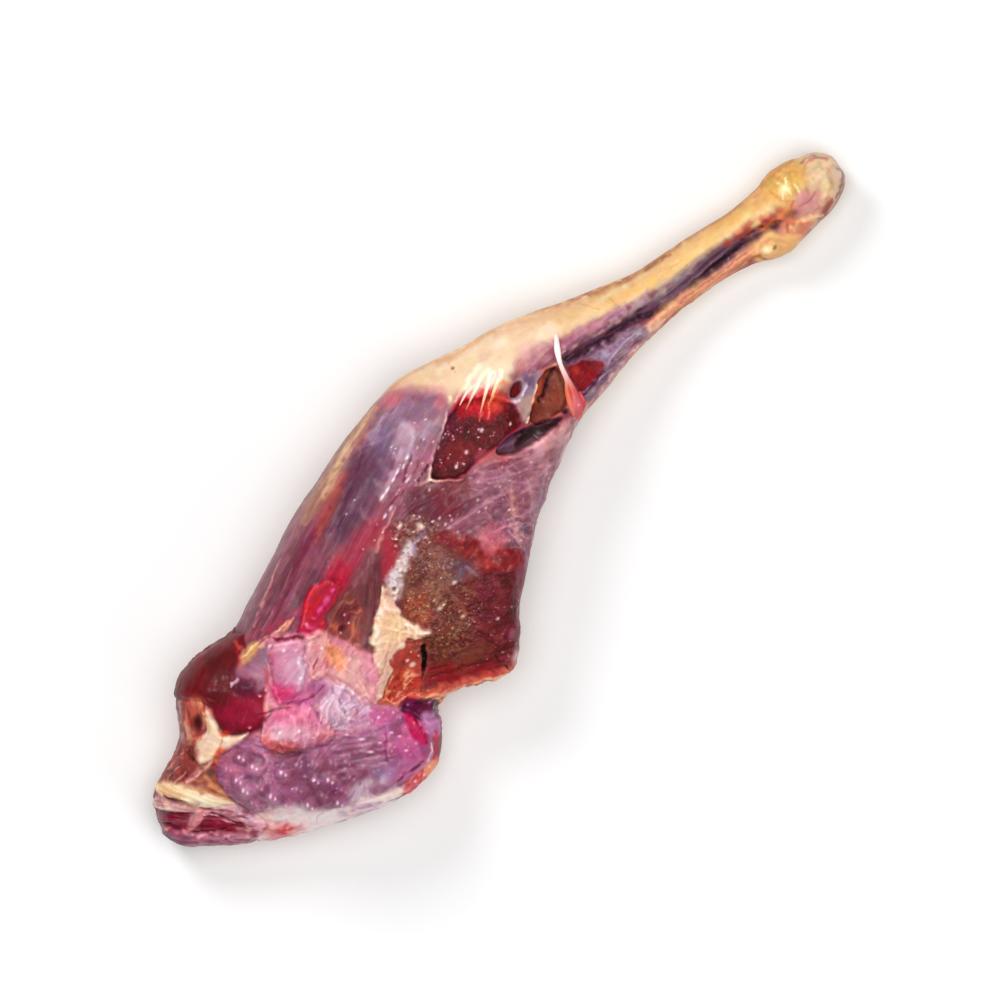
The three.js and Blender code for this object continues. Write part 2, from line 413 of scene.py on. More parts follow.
def tell(name, weight):
    print(name + ":", int((weight > 0.5).sum()), "points")


def pillow(outline, height_mm, roll=10, crease_mm=0.0, crease=2.5, wobble=1.5, seed=0, soft=2.2):
    """Puffs a patch up with a rolled edge and presses a crease round it. Returns its weight."""
    depth = inside_depth(outline, wobble, seed)
    t = np.clip(depth / roll, 0, 1)
    lift[:] = lift + height_mm * np.sqrt(1 - (1 - t) ** 2) * shown
    if crease_mm:
        uneven = 0.55 + 0.45 * lumps(9, seed + 31, 1, shown)
        lift[:] = lift - crease_mm * uneven * np.exp(-((depth / crease) ** 2)) * shown
    return fade(depth, -soft, soft) * shown


def mottle(weight, size_mm, colours, amount=0.5, seed=0, height=0.0):
    """Clouds of other colours over a patch, each in its own places."""
    for number, colour in enumerate(colours):
        clouds = lumps(size_mm, seed + 11 * number, 2, weight)
        paint(fade(clouds, 0.02, 0.42) * weight, colour, amount)
        raise_by(weight * clouds, height)


def fibres(weight, angle, light, dark, amount=0.5, length=50, width=3.0, seed=0, height=0.15):
    """Fine light and dark streaks along a patch, with the surface following them."""
    lines = streaks(angle, length, width, seed, weight)
    paint(fade(lines, 0.08, 0.5) * weight, light, amount)
    paint(fade(-lines, 0.1, 0.5) * weight, dark, amount)
    raise_by(weight * lines, height)
    finish_as(weight, angle=angle)


def glints(weight, count, seed, radius, stretch, angle, colour, height):
    """Small spots, raised a little, in clusters over a patch. Pale ones are painted highlights, darker ones
    specks.
    """
    random = np.random.default_rng(seed)
    crowd = fade(lumps(4.5, seed + 40, 2, weight), -0.2, 0.4)
    crowd = np.where((weight > 0.5) & (steep < 0.5), crowd, 0) ** 2
    for place in random.choice(point_count, count, replace=False, p=crowd / crowd.sum()):
        size = radius[0] + (radius[1] - radius[0]) * random.random() ** 2
        drop = spot(px[place], py[place], size, random.uniform(*stretch), angle)
        paint(drop, colour, random.uniform(0.3, 0.95))
        raise_by(drop, height * random.uniform(0.6, 1.2))


# %% [markdown]
# The palette. The colours were judged against the photograph, and are in ordinary screen
# values. Meat looks too orange in a render if its red is pure, so the reds lean to blue and brown.

# %% Palette
CREAM = (233, 198, 150)
YELLOW_FAT = (236, 182, 100)
MAUVE = (148, 88, 104)
SLATE = (100, 66, 84)
MAROON = (104, 38, 48)
# The black of a hole or a slot, painted as its shade.
SHADE_BLACK = (38, 14, 24)

# %% [markdown]
# First the ground coat. The outer side, which lies on the table, can't be seen. A mutton leg has a
# fat cover there with patches of muscle, so that is what it gets, and the shank keeps its skin.

# %% Ground coat and underside
everywhere = np.ones(point_count)
paint(everywhere, MAROON)
fat_cover = fade(lumps(30, 3) + 0.25, -0.15, 0.25)
paint(fat_cover, (218, 180, 156))
paint(fade(lumps(12, 9), 0.1, 0.5) * fat_cover, (196, 130, 120), 0.7)
paint(fade(lumps(5, 13), 0.1, 0.5) * fat_cover, (236, 208, 184), 0.5)
shank_part = fade(points[:, 0], 20, 90)
paint(shank_part, (226, 182, 128))
paint(fade(lumps(14, 5), 0.1, 0.6) * shank_part, (204, 146, 98), 0.6)
paint(shown, (128, 60, 70))
raise_by(lumps(16, 21), 0.6)
raise_by(lumps(5, 23), 0.15)
tell("fat cover", fat_cover)

# %% [markdown]
# The shank has a band of skin and fat down its front, a dark muscle under thin membrane below it,
# and a strip of sinew along the back edge.

# %% Shank
SHANK_SKIN = [
    (380, 392), (352, 400), (392, 345), (480, 300), (560, 270), (640, 236), (700, 200), (748, 168),
    (790, 130), (830, 150), (812, 190), (792, 205), (780, 212), (765, 222), (745, 232), (735, 242),
    (720, 252), (690, 268), (665, 283), (635, 302), (620, 310), (590, 324), (560, 338), (530, 350),
    (512, 364), (500, 374), (470, 382), (447, 392), (420, 386),
]
shank_skin = patch(SHANK_SKIN, CREAM, 3.5)
mottle(shank_skin, 22, [(232, 192, 140), (246, 220, 182)], 0.5, 31)
YELLOW_PART = [(612, 262), (700, 206), (770, 160), (806, 180), (760, 214), (700, 256), (640, 290), (600, 306)]
patch(YELLOW_PART, YELLOW_FAT, 12, 0.6)
# The first, third and fifth strokes are painted highlights along the middle of the shank; the rest are the
# skin's cream, yellow and tan.
strokes(
    ([(600, 300), (660, 266), (720, 236), (766, 208)], [9, 8, 8, 6], (252, 226, 172), 0.7, 0, 1.6, -0.3),
    ([(480, 352), (540, 330), (600, 310)], [14, 10, 8], (244, 206, 162), 0.6, 0, 1.6),
    ([(578, 304), (602, 294), (628, 281), (654, 264), (680, 246), (706, 228)], [9, 10, 9, 7, 6, 5],
     (244, 218, 190), 0.75, 0, 1.8),
    ([(608, 302), (638, 289), (668, 270), (700, 248), (732, 222), (752, 204)], [4, 6, 7, 8, 8, 6],
     (240, 192, 100), 0.65, 0, 1.5),
    ([(672, 264), (698, 247), (724, 227)], [2, 3.4, 2.4], (254, 224, 148), 0.65, 0, 1.4),
    ([(690, 224), (740, 194), (778, 168)], [6, 8, 7], (208, 138, 68), 0.7),
    ([(640, 262), (690, 236), (742, 206)], 3, (224, 164, 98), 0.45),
    ([(650, 290), (700, 262), (742, 234)], 2.6, (228, 176, 112), 0.5),
)
fibres(shank_skin, 33, (248, 222, 184), (226, 180, 128), 0.28, 110, 9, 32, 0.06)
# Towards its front edge the shank turns tan and brown: partly the skin's own colour, partly painted shade
# where the front turns from the light.
FRONT_TAN_AND_SHADE = [(410, 388), (470, 356), (524, 331), (574, 313), (632, 290), (686, 253), (735, 221), (774, 192)]
stroke(FRONT_TAN_AND_SHADE, [8, 7, 6, 5, 6, 7, 8, 9], (226, 166, 104), 0.4, 0, 1.6, -0.5)
FRONT_EDGE = [
    (372, 396), (404, 374), (462, 346), (486, 330), (520, 318), (570, 300), (628, 277), (680, 240),
    (730, 208), (765, 178), (790, 162),
]
strokes(
    (FRONT_EDGE, [14, 12, 11, 10, 9, 9, 10, 11, 11, 11, 11], (198, 130, 78), 0.65, 0, 1, -0.4),
    (FRONT_EDGE, [6, 5, 5, 5, 4, 4, 5, 5, 5, 6, 6], (160, 100, 64), 0.75),
    ([(646, 270), (658, 261), (670, 254)], 2.4, (140, 84, 50), 0.75),
)
for line in (
    [(598, 290), (608, 298), (620, 308)], [(664, 268), (674, 266), (682, 260)],
    [(560, 306), (580, 304), (600, 310)],
):
    stroke(line, 1.4, (206, 150, 98), 0.5, -0.1)
for line, half in (
    ([(512, 370), (530, 354), (552, 344)], 5), ([(540, 352), (566, 338), (592, 324)], 5),
    ([(566, 348), (590, 330), (618, 312)], 5), ([(592, 336), (610, 322), (624, 308)], 4),
):
    stroke(line, half, (196, 134, 148), 0.75, 0.2)
tell("shank skin", shank_skin)

# %% Mauve patch
MAUVE_PATCH = [
    (512, 368), (530, 354), (560, 340), (600, 320), (624, 306), (620, 322), (592, 338), (570, 350),
    (545, 362), (525, 376),
]
mauve_patch = area(MAUVE_PATCH, 7)
paint(mauve_patch, (190, 122, 146), 0.35)
fibres(mauve_patch, 44, (230, 186, 186), (160, 98, 124), 0.35, 20, 3, 35, 0.2)
mottle(mauve_patch, 3, [(226, 172, 176), (164, 98, 126)], 0.4, 36)
stroke([(596, 334), (612, 318), (622, 310)], [2, 4, 2], (140, 84, 112), 0.7)
finish_as(shank_skin, 0.45, 0.12, 0.06, 33)
raise_by(shank_skin * streaks(33, 70, 11, 36, shank_skin), 0.3)
tell("mauve patch", mauve_patch)

# %% Dark stripe
STRIPE_LINE = [
    (780, 222), (756, 236), (730, 250), (704, 269), (680, 288), (656, 304), (630, 320), (604, 336),
    (580, 348), (566, 358),
]
stripe = band(STRIPE_LINE, [3, 8, 12, 13, 12, 9, 7, 8, 8, 7], 0.8, 0.8)
paint(stripe, (86, 54, 70))
finish_as(stripe, 0.75, 0.5, 0)
fibres(stripe, 35, (132, 96, 116), (50, 26, 40), 0.6, 60, 3.2, 37, 0.25)
strokes(
    ([(704, 258), (680, 276), (656, 292), (634, 306)], [4, 6, 7, 6], (186, 156, 158), 0.75, 0.2),
    ([(724, 256), (704, 271), (684, 288), (662, 302)], [1.4, 2.2, 2.2, 1.6], (150, 118, 134), 0.6, 0.2),
    ([(742, 246), (716, 266), (690, 288), (662, 308), (640, 318)], [2, 3, 3, 3, 2], (46, 24, 40), 0.8,
     -0.7),
    ([(612, 334), (634, 322), (660, 310)], [3, 4, 3], (56, 36, 46), 0.8, -0.4),
    ([(612, 321), (636, 308), (664, 290), (688, 272)], [3, 7, 6, 4], (192, 170, 170), 0.7, 0.2, 1.5),
    ([(724, 246), (744, 232), (764, 220), (786, 208)], [4, 8, 8, 5], (158, 58, 48), 0.9, 0.3),
    ([(760, 230), (776, 220), (790, 206)], [4, 6, 5], (208, 100, 54), 0.8, 0.4),
    ([(742, 240), (752, 232), (762, 226)], 2, (76, 24, 34), 0.7, -0.4),
)
raise_by(stripe, -1.2)
stroke([(560, 354), (584, 342), (606, 330), (630, 314)], 2.2, (214, 160, 146), 0.6, 0.7)
tell("dark stripe", stripe)

# %% Sinew strip
SINEW_LINE = [
    (770, 238), (748, 254), (722, 275), (697, 291), (672, 308), (655, 326), (630, 350), (604, 384),
    (584, 412),
]
strip = band(SINEW_LINE, [5, 8, 8, 8, 9, 9, 9, 9, 9], 0.6)
paint(strip, (214, 146, 108))
fibres(strip, 38, (240, 190, 148), (186, 104, 80), 0.5, 60, 3, 41, 0.25)
strokes(
    ([(768, 262), (750, 264), (726, 284), (698, 302), (672, 322), (652, 342)], [4], (178, 98, 88), 0.75),
    ([(746, 252), (722, 270), (700, 286), (680, 302)], 1.4, (172, 92, 70), 0.55, -0.3, 1, -0.6),
    ([(664, 320), (652, 328), (640, 336)], [3, 6, 4], (228, 186, 168), 0.8, 0.5),
    ([(650, 336), (624, 366), (600, 396), (582, 418)], [7, 8, 8, 7], (188, 134, 146)),
    ([(656, 344), (634, 368), (610, 398), (590, 420)], 3, (222, 178, 168), 0.7),
    ([(638, 346), (614, 372), (596, 396)], 1.1, (226, 200, 208), 0.7, 0.3),
)
raise_by(band([(750, 252), (700, 288), (660, 318), (640, 336)], [4], 1), 0.8)
finish_as(strip, 0.55, 0.3, 0, 38)
tell("sinew strip", strip)

# %% Membrane below the knee
BACK_FILM = [
    (566, 356), (590, 344), (612, 336), (640, 326), (646, 334), (628, 356), (612, 376), (596, 396),
    (588, 404), (582, 392), (604, 368), (598, 360), (580, 362), (564, 364),
]
back_film = patch(BACK_FILM, (126, 92, 112), 2.5, height=-0.8)
stroke([(640, 332), (622, 344), (604, 356)], [7, 9, 6], (180, 158, 178), 0.8)
crumple(back_film, 9, (196, 172, 188), (100, 68, 88), 0.45, 0.3, 40, 2.4, 43)
strokes(
    ([(618, 350), (612, 358), (608, 366)], 1.4, (204, 192, 208), 0.5, 0.3),
    ([(562, 363), (586, 351), (614, 337)], [4, 7, 4], (60, 34, 42), 0.9, -0.8),
    ([(560, 358), (582, 346), (606, 334)], 1.4, (132, 40, 44), 0.75),
)
finish_as(back_film, 0.9, 0.8, 0)
tell("film below the knee", back_film)

# %% Red wedge
RED_WEDGE = [(568, 366), (584, 362), (604, 362), (601, 374), (588, 386), (580, 392), (573, 380)]
wedge = patch(RED_WEDGE, (132, 28, 44), 2, height=-1.5)
mottle(wedge, 4, [(160, 50, 50), (100, 20, 40)], 0.6, 45, 0.2)
blot(576, 370, 7, (190, 74, 50), 0.7)
stroke([(582, 396), (594, 384), (604, 370)], 2.2, (66, 40, 60), 0.9, -0.5)
finish_as(wedge, 0.9, 0.2, 0)
tell("red wedge", wedge)

# %% [markdown]
# The hock is a knob of bone under skin, with a lump of heel behind it. It is creased and lumpy,
# and its tip is a thin pale rag of skin.

# %% Hock
HOCK = [(750, 190), (790, 150), (862, 140), (856, 200), (826, 240), (790, 268), (750, 268), (752, 240)]
hock = area(HOCK, 6)
blot(786, 182, 32, (230, 174, 84), 0.85, 1.2, 40)
mottle(hock, 8, [(242, 204, 138), (220, 160, 96)], 0.3, 51, 0.2)
patch([(810, 152), (830, 148), (852, 154), (848, 186), (838, 206), (822, 222), (806, 232), (798, 214),
       (806, 190)], (226, 190, 152), 9)
patch([(796, 196), (810, 190), (824, 196), (822, 212), (806, 218), (796, 210)], (214, 142, 140), 5, 0.8)
stroke([(800, 208), (808, 200), (816, 192)], 1.6, (186, 86, 100), 0.6)
stroke([(820, 166), (826, 184), (822, 202)], [6, 6, 4], (240, 210, 160), 0.75, 0.5)
patch([(838, 150), (850, 156), (848, 172), (838, 180), (832, 166)], (228, 200, 176), 4, 0.8)
strokes(
    ([(804, 162), (814, 158), (826, 159)], [2.4, 4, 2.4], (198, 120, 104), 0.8, -0.3),
    ([(802, 161), (808, 157), (816, 155)], 1.2, (124, 66, 60), 0.5),
    ([(832, 165), (838, 167), (843, 170)], 1.4, (176, 116, 84), 0.6, -0.3),
    ([(845, 170), (842, 184), (837, 196)], [1.6, 2.6, 1.6], (120, 78, 84), 0.75),
    ([(832, 200), (827, 210), (819, 217)], [4, 6.5, 3], (138, 60, 48)),
)
patch([(779, 222), (800, 218), (808, 230), (796, 246), (784, 240)], (218, 140, 112), 4, 0.85)
strokes(
    ([(783, 218), (796, 223), (812, 221)], [3, 4, 3], (212, 104, 72), 0.8, 0.4),
    ([(784, 236), (800, 231), (814, 222)], 2.4, (208, 112, 84), 0.75),
    ([(794, 202), (790, 216), (787, 232)], 1.8, (200, 90, 60), 0.75, -0.4),
    ([(792, 228), (806, 218), (822, 214)], [3, 4, 2], (238, 196, 140), 0.7, 0.7),
)
patch([(756, 240), (776, 232), (800, 236), (806, 250), (784, 262), (764, 264), (752, 258)],
      (230, 176, 116), 4)
# A painted highlight on the heel, and painted shade in the creases round it.
blot(767, 249, 5, (250, 226, 190), 0.8, 1.6, 20, 0.6)
blot(775, 247, 2.4, (120, 62, 44), 0.7, 1.4, 60, -0.3)
stroke([(748, 260), (758, 256), (768, 260)], 2.4, (150, 88, 54), 0.7, -0.3)
stroke([(764, 262), (780, 262), (796, 256)], 2, (206, 150, 96), 0.7)
# A painted highlight on the knob of the hock, with short streaks of painted highlight round it.
blot(784, 190, 8, (255, 240, 186), 0.85, 1.2, 60)
stroke([(756, 188), (776, 168), (798, 153), (822, 147)], [5, 6, 5, 4], (196, 136, 74), 0.6, 0, 1, -0.4)
for line in (
    [(775, 181), (783, 187), (791, 194)], [(781, 198), (785, 188), (787, 179)],
    [(793, 184), (798, 190), (800, 198)],
):
    stroke(line, [0.8, 2.0, 0.8], (255, 246, 206), 0.7, 0.4)
finish_as(hock, 0.55, 0.1, 0.05)
# Painted shade in the creases of the hock.
for line in (
    [(774, 176), (784, 184), (782, 196)], [(790, 172), (792, 186), (800, 196)],
    [(806, 164), (804, 180), (812, 196)], [(828, 168), (832, 184), (826, 200)],
    [(786, 214), (802, 216), (820, 208)], [(782, 230), (798, 226), (814, 232)],
    [(760, 244), (776, 240), (790, 244)], [(770, 192), (780, 200), (792, 202)],
    [(776, 168), (786, 174), (798, 172)], [(812, 178), (820, 188), (818, 200)],
):
    stroke(line, [1.6, 3, 1.6], (206, 134, 84), 0.3, -0.2, 1.6)
for x, y, radius, height in (
    (786, 182, 14, 1.2), (812, 160, 9, 1.2), (830, 160, 10, 1.3), (818, 178, 11, 0.8),
    (830, 196, 10, 0.9), (770, 250, 11, 1.4), (792, 246, 11, 0.8), (804, 206, 10, 0.7),
):
    raise_by(spot(x, y, radius), height)
raise_by(hock * lumps(7, 61, 2, hock), 0.8)
tell("hock", hock)

# %% [markdown]
# Over the knee lies soft fat. It turns pink where the front thigh begins, and white streaks of it
# run down to the window.

# %% Knee
KNEE_FAT = [
    (360, 400), (392, 350), (450, 330), (520, 310), (560, 330), (530, 350), (516, 366), (506, 384),
    (490, 394), (466, 396), (450, 404), (440, 398), (420, 388), (398, 384), (380, 396),
]
knee = patch(KNEE_FAT, (240, 208, 172), 8, 0.9)
mottle(knee, 14, [(238, 196, 156), (250, 228, 206)], 0.5, 63, 0.4)
patch([(376, 398), (394, 384), (416, 384), (436, 392), (434, 404), (408, 402), (384, 410)],
      (216, 144, 138), 8, 0.75)
blot(391, 399, 11, (214, 96, 96), 0.8, 1.4, 30)
blot(440, 396, 10, (222, 132, 138), 0.7, 1.4, 80)
patch([(462, 384), (472, 368), (486, 362), (504, 366), (508, 382), (494, 392), (478, 392), (464, 396)],
      (242, 216, 184), 7, 0.85)
for line, half in (
    ([(488, 372), (478, 384), (464, 398)], [5, 3.6, 2]), ([(480, 368), (468, 384), (456, 402)], [4, 3, 1.4]),
    ([(494, 374), (490, 390), (486, 410)], [3, 2, 1]), ([(502, 372), (500, 386), (492, 398)], [3, 2, 1]),
    ([(476, 392), (470, 398), (466, 404)], [2, 1.4]),
):
    stroke(line, half, (252, 236, 212), 0.72, 0.5, 1.4, broken=-0.3)
for line, half, colour in (
    ([(502, 384), (497, 394), (491, 408)], [5, 5, 3], (226, 112, 44)),
    ([(488, 392), (485, 402), (482, 412)], [3, 3, 2], (214, 70, 44)),
    ([(508, 384), (504, 394), (500, 404)], [3, 3, 2], (206, 124, 78)),
    ([(482, 390), (478, 396), (474, 402)], [2.4, 2], (226, 96, 70)),
):
    stroke(line, half, colour, 0.8)
stroke([(496, 332), (540, 318), (584, 306)], [10, 9, 7], (230, 186, 144), 0.7)
blot(530, 354, 15, (216, 152, 152), 0.65, 1.6, 24)
blot(522, 366, 8, (226, 150, 140), 0.6, 1.2, 30)
strokes(
    ([(438, 364), (460, 352), (476, 339), (492, 331)], [4, 5, 6, 4], (214, 152, 94), 0.6, 0, 1.6, -0.4),
    ([(384, 394), (402, 380), (424, 367), (440, 360)], [3, 3.4, 3, 2], (206, 150, 98), 0.5, 0, 1.5, -0.3),
    ([(500, 329), (530, 319), (566, 305)], [5, 7, 5], (238, 180, 136), 0.55, 0, 1.8),
    ([(396, 392), (424, 380), (448, 372)], [5, 7, 5], (228, 184, 140), 0.5, 0, 2),
)
blot(500, 344, 9, (248, 228, 206), 0.7, 1.5, 30)
blot(485, 358, 7, (228, 174, 162), 0.6, 1.3, 30)
blot(497, 378, 8, (252, 240, 224), 0.6, 1.3, 70)
blot(453, 369, 2.6, (150, 92, 56), 0.9, 1.2, 60, -0.5)
stroke([(448, 362), (452, 370), (456, 374)], 0.8, (206, 160, 120), 0.7)
finish_as(knee, 0.45, 0.1, 0.05)
patches(
    ([(516, 380), (536, 370), (542, 374), (538, 392), (532, 408), (526, 422), (520, 412), (508, 398)],
     (160, 134, 152), 3, 0.92),
    ([(524, 376), (536, 372), (534, 386), (526, 388)], (104, 78, 104), 3, 0.7),
    ([(520, 400), (532, 396), (530, 412), (524, 420), (518, 410)], (206, 166, 146), 3, 0.7),
)
stroke([(537, 386), (534, 404), (527, 424)], [1.6, 2, 1.2], (236, 200, 148), 0.95, 0.8)
tell("knee", knee)

# %% Oval hole
SMALL_OVAL = [(510, 392), (514, 384), (521, 381), (522, 389), (517, 397), (511, 398)]
oval = patch(SMALL_OVAL, (106, 28, 34), 1.4, wobble=0.6, height=-2.0)
stroke([(508, 401), (516, 402), (523, 396), (526, 384)], [1.4, 2, 1.4], (226, 206, 214), 0.85, 0.6)
finish_as(oval, 0.95, 0, 0)
tell("oval hole", oval)

# %% [markdown]
# Behind the knee the membrane is torn open. The window shows wet dark meat with a cream rim, and
# beside it are a brown hollow and a dark slot. Each is pressed in, deepest at its shaded side,
# which is also darkened with painted shade.

# %% Red window
RED_WINDOW = [
    (453, 414), (464, 403), (482, 397), (499, 401), (516, 408), (521, 423), (508, 438), (494, 450),
    (476, 464), (456, 478), (434, 478), (432, 466), (436, 451), (443, 434),
]
window = patch(RED_WINDOW, (84, 6, 26), 2.4, wobble=1.4, height=-3.0)
mottle(window, 4, [(126, 14, 38), (66, 4, 24)], 0.6, 71, 0.3)
patches(
    ([(448, 424), (456, 412), (470, 416), (466, 430), (454, 446), (442, 452)], (94, 22, 54), 6, 0.55),
    ([(492, 410), (518, 408), (520, 430), (506, 442), (492, 440), (486, 424)], (98, 10, 34), 6, 0.55),
    ([(446, 446), (462, 440), (476, 450), (462, 464), (444, 468)], (118, 2, 26), 7, 0.7),
)
mottle(window, 1.6, [(140, 26, 46), (54, 0, 18)], 0.35, 73, 0.25)
patch([(454, 408), (466, 396), (484, 392), (500, 398), (500, 412), (484, 420), (466, 416)], (186, 8, 40),
      8, 0.95, 4)
patch([(484, 398), (498, 396), (506, 406), (496, 414), (486, 410)], (204, 84, 44), 6, 0.6, 3)
# Painted shade along the window's lower side.
stroke([(438, 476), (456, 474), (478, 460), (490, 448)], [3, 4, 3, 3], (78, 8, 26), 0.6, -0.2)
for line, half in (
    ([(486, 392), (484, 404), (480, 420)], [2.4, 1.8, 0.8]),
    ([(492, 396), (490, 408), (488, 418)], [1.6, 1.0]),
    ([(478, 396), (474, 404), (470, 412)], [1.6, 0.8]),
):
    stroke(line, half, (240, 150, 110), 0.65, 0.5)
inner = area([(450, 424), (470, 414), (500, 414), (514, 424), (494, 444), (464, 466), (442, 470),
              (440, 452)], 3)
glints(inner, 56, 5, (0.8, 1.5), (1.0, 1.6), 40, (156, 50, 66), 0.3)
glints(inner, 34, 6, (0.7, 1.4), (1.0, 1.9), 60, (236, 184, 184), 0.35)
finish_as(window, 0.4, 0, 0)
for line, half in (
    ([(452, 398), (448, 412), (441, 436), (434, 456), (431, 478)], [2.4, 1.6, 2.0, 2.8, 2.0]),
    ([(430, 480), (444, 482), (462, 480)], [1.8, 1.2, 0.7]),
    ([(430, 460), (424, 472), (417, 484)], [1.4, 1.2]),
    ([(416, 485), (424, 483), (432, 480)], [1.4, 1.8, 1.6]),
):
    stroke(line, [h + 0.5 for h in half], (236, 204, 172), 0.92, 1.0, broken=-0.4)
# Painted highlights on the wet rim and meat of the window.
for x, y, size in (
    (433, 460, 3), (431, 469, 2.2), (440, 448, 2), (424, 466, 2.2), (467, 452, 2.4), (513, 424, 2.2),
    (482, 430, 2.4), (457, 466, 2),
):
    blot(x, y, size, (252, 236, 230), 0.8, 1.6, 70, 0.6)
# Painted shade in the slit beside the window.
stroke([(429, 464), (425, 472), (420, 481)], [1.6, 2.2, 1.4], (66, 26, 36), 0.95, -2, 0.7)
stroke([(418, 490), (436, 486), (460, 484)], [2.6, 2, 1], (206, 84, 74), 0.7)
tell("window", window)

# %% Brown hollow
HOLLOW = [(532, 419), (534, 401), (543, 375), (556, 368), (564, 382), (567, 403), (556, 415), (541, 422)]
hollow = patch(HOLLOW, (128, 60, 48), 1.8, wobble=0.8, height=-4.0)
mottle(hollow, 6, [(152, 78, 54), (96, 42, 40)], 0.5, 76, 0.3)
# The second stroke is painted shade down the hollow's deep side.
strokes(
    ([(545, 372), (541, 388), (535, 404)], [3, 5, 4], (196, 94, 62), 0.85, 1),
    ([(556, 368), (549, 384), (541, 400)], [1.6, 2.4, 1.4], (58, 20, 24), 0.9, -1.2),
    ([(562, 384), (564, 396), (562, 408)], [2, 3, 2], (160, 90, 62), 0.6),
    ([(544, 421), (556, 415), (568, 408)], [1.6, 2.4, 2], (206, 118, 78), 0.85, 0.6),
    ([(530, 376), (548, 368), (562, 362)], [2, 2.4, 2], (214, 150, 120), 0.7, 0.7),
)
finish_as(hollow, 0.55, 0, 0.15)
tell("hollow", hollow)

# %% Dark slot
SLOT = [(497, 453), (508, 440), (528, 427), (548, 418), (562, 418), (552, 430), (532, 445), (513, 455)]
slot = patch(SLOT, (94, 62, 80), 1.8, wobble=0.8, height=-4.4)
# The near-black patch and the first dark stroke below are painted shade in the deep part of the slot.
patch([(520, 438), (540, 422), (562, 418), (550, 431), (532, 444), (522, 446)], SHADE_BLACK, 4, 0.85)
strokes(
    ([(524, 430), (530, 438), (526, 446)], 1.4, (44, 22, 34), 0.7),
    ([(500, 450), (514, 444), (524, 434)], [2, 2.4, 1], (134, 100, 120), 0.6, 0.4),
    ([(528, 428), (544, 422), (556, 418)], [1.6, 2, 1], (112, 74, 86), 0.7),
)
finish_as(slot, 0.85, 0.3, 0)
# A small round hole, painted black as its shade.
blot(565, 411, 4.4, SHADE_BLACK, 0.95, 1.0, 0, -1.2)
stroke([(505, 460), (530, 450), (552, 436), (574, 420)], [4, 4, 6, 6], (220, 162, 160), 0.8, 0.8)
tell("slot", slot)

# %% [markdown]
# Silverskin lies over the front thigh: lavender and glossy above, purple and maroon lower down,
# with fibres that run along the muscle. A strip of fat follows the front edge.

# %% Front thigh
THIGH = [
    (350, 405), (378, 400), (400, 394), (440, 398), (446, 412), (438, 440), (428, 462), (416, 488),
    (404, 506), (394, 530), (384, 556), (368, 584), (350, 604), (338, 622), (310, 636), (280, 642),
    (240, 640), (220, 640), (240, 580), (280, 500), (320, 440),
]
thigh = patch(THIGH, (128, 62, 78), 5)
patches(
    ([(376, 406), (410, 396), (440, 402), (440, 432), (426, 456), (404, 466), (384, 462), (370, 440)],
     (180, 148, 166), 14, 0.92),
    ([(344, 474), (364, 446), (384, 456), (382, 486), (360, 530), (338, 556), (326, 540), (336, 500)],
     SLATE, 11, 0.85),
    ([(374, 432), (392, 430), (396, 446), (384, 464), (368, 458)], (118, 88, 116), 8, 0.75),
    ([(262, 600), (290, 534), (318, 524), (336, 552), (330, 584), (304, 606), (276, 626), (256, 628)],
     (122, 52, 68), 12, 0.85),
    ([(292, 590), (312, 560), (330, 566), (322, 586), (300, 606)], (100, 48, 60), 9, 0.6),
)
finish_as(thigh, 0.72, 0.4, 0)
mottle(thigh, 12, [(158, 92, 108), (104, 50, 66)], 0.4, 80)
fibres(thigh, 58, (172, 112, 130), (92, 46, 62), 0.25, 90, 8, 81, 0.2)
fibres(thigh, 61, (172, 116, 134), (98, 50, 66), 0.22, 60, 3, 82, 0.1)
upper = area([(372, 412), (440, 400), (430, 460), (400, 512), (366, 524), (358, 462)], 14)
mottle(upper, 9, [(204, 174, 190), (134, 94, 122)], 0.5, 83, 0.2)
crumple(upper, 16, (222, 204, 216), (136, 100, 128), 0.3, 0.2, 50, 2.6, 88)
stroke([(392, 424), (384, 442), (378, 462), (368, 482)], [6, 10, 10, 6], (130, 106, 138), 0.4, 0, 2.2,
       -0.2)
blot(392, 401, 13, (214, 100, 108), 0.7, 1.8, 20)
blot(440, 404, 10, (214, 118, 132), 0.65, 1.3, 70)
stroke([(376, 412), (366, 430), (358, 446)], [5, 6, 4], (186, 104, 92), 0.6)
patches(
    ([(348, 476), (368, 452), (386, 458), (378, 492), (354, 530), (338, 544), (332, 518)], (88, 50, 70),
     12, 0.65),
    ([(396, 482), (416, 454), (436, 436), (430, 462), (412, 490), (396, 516), (378, 544), (372, 528)],
     (164, 92, 110), 9, 0.8),
    ([(346, 548), (372, 520), (388, 524), (378, 548), (356, 574), (338, 590), (330, 574)], (178, 56, 76),
     9, 0.8),
    ([(326, 574), (344, 562), (352, 572), (344, 590), (330, 604)], (182, 30, 58), 6, 0.8),
)
tell("front thigh", thigh)

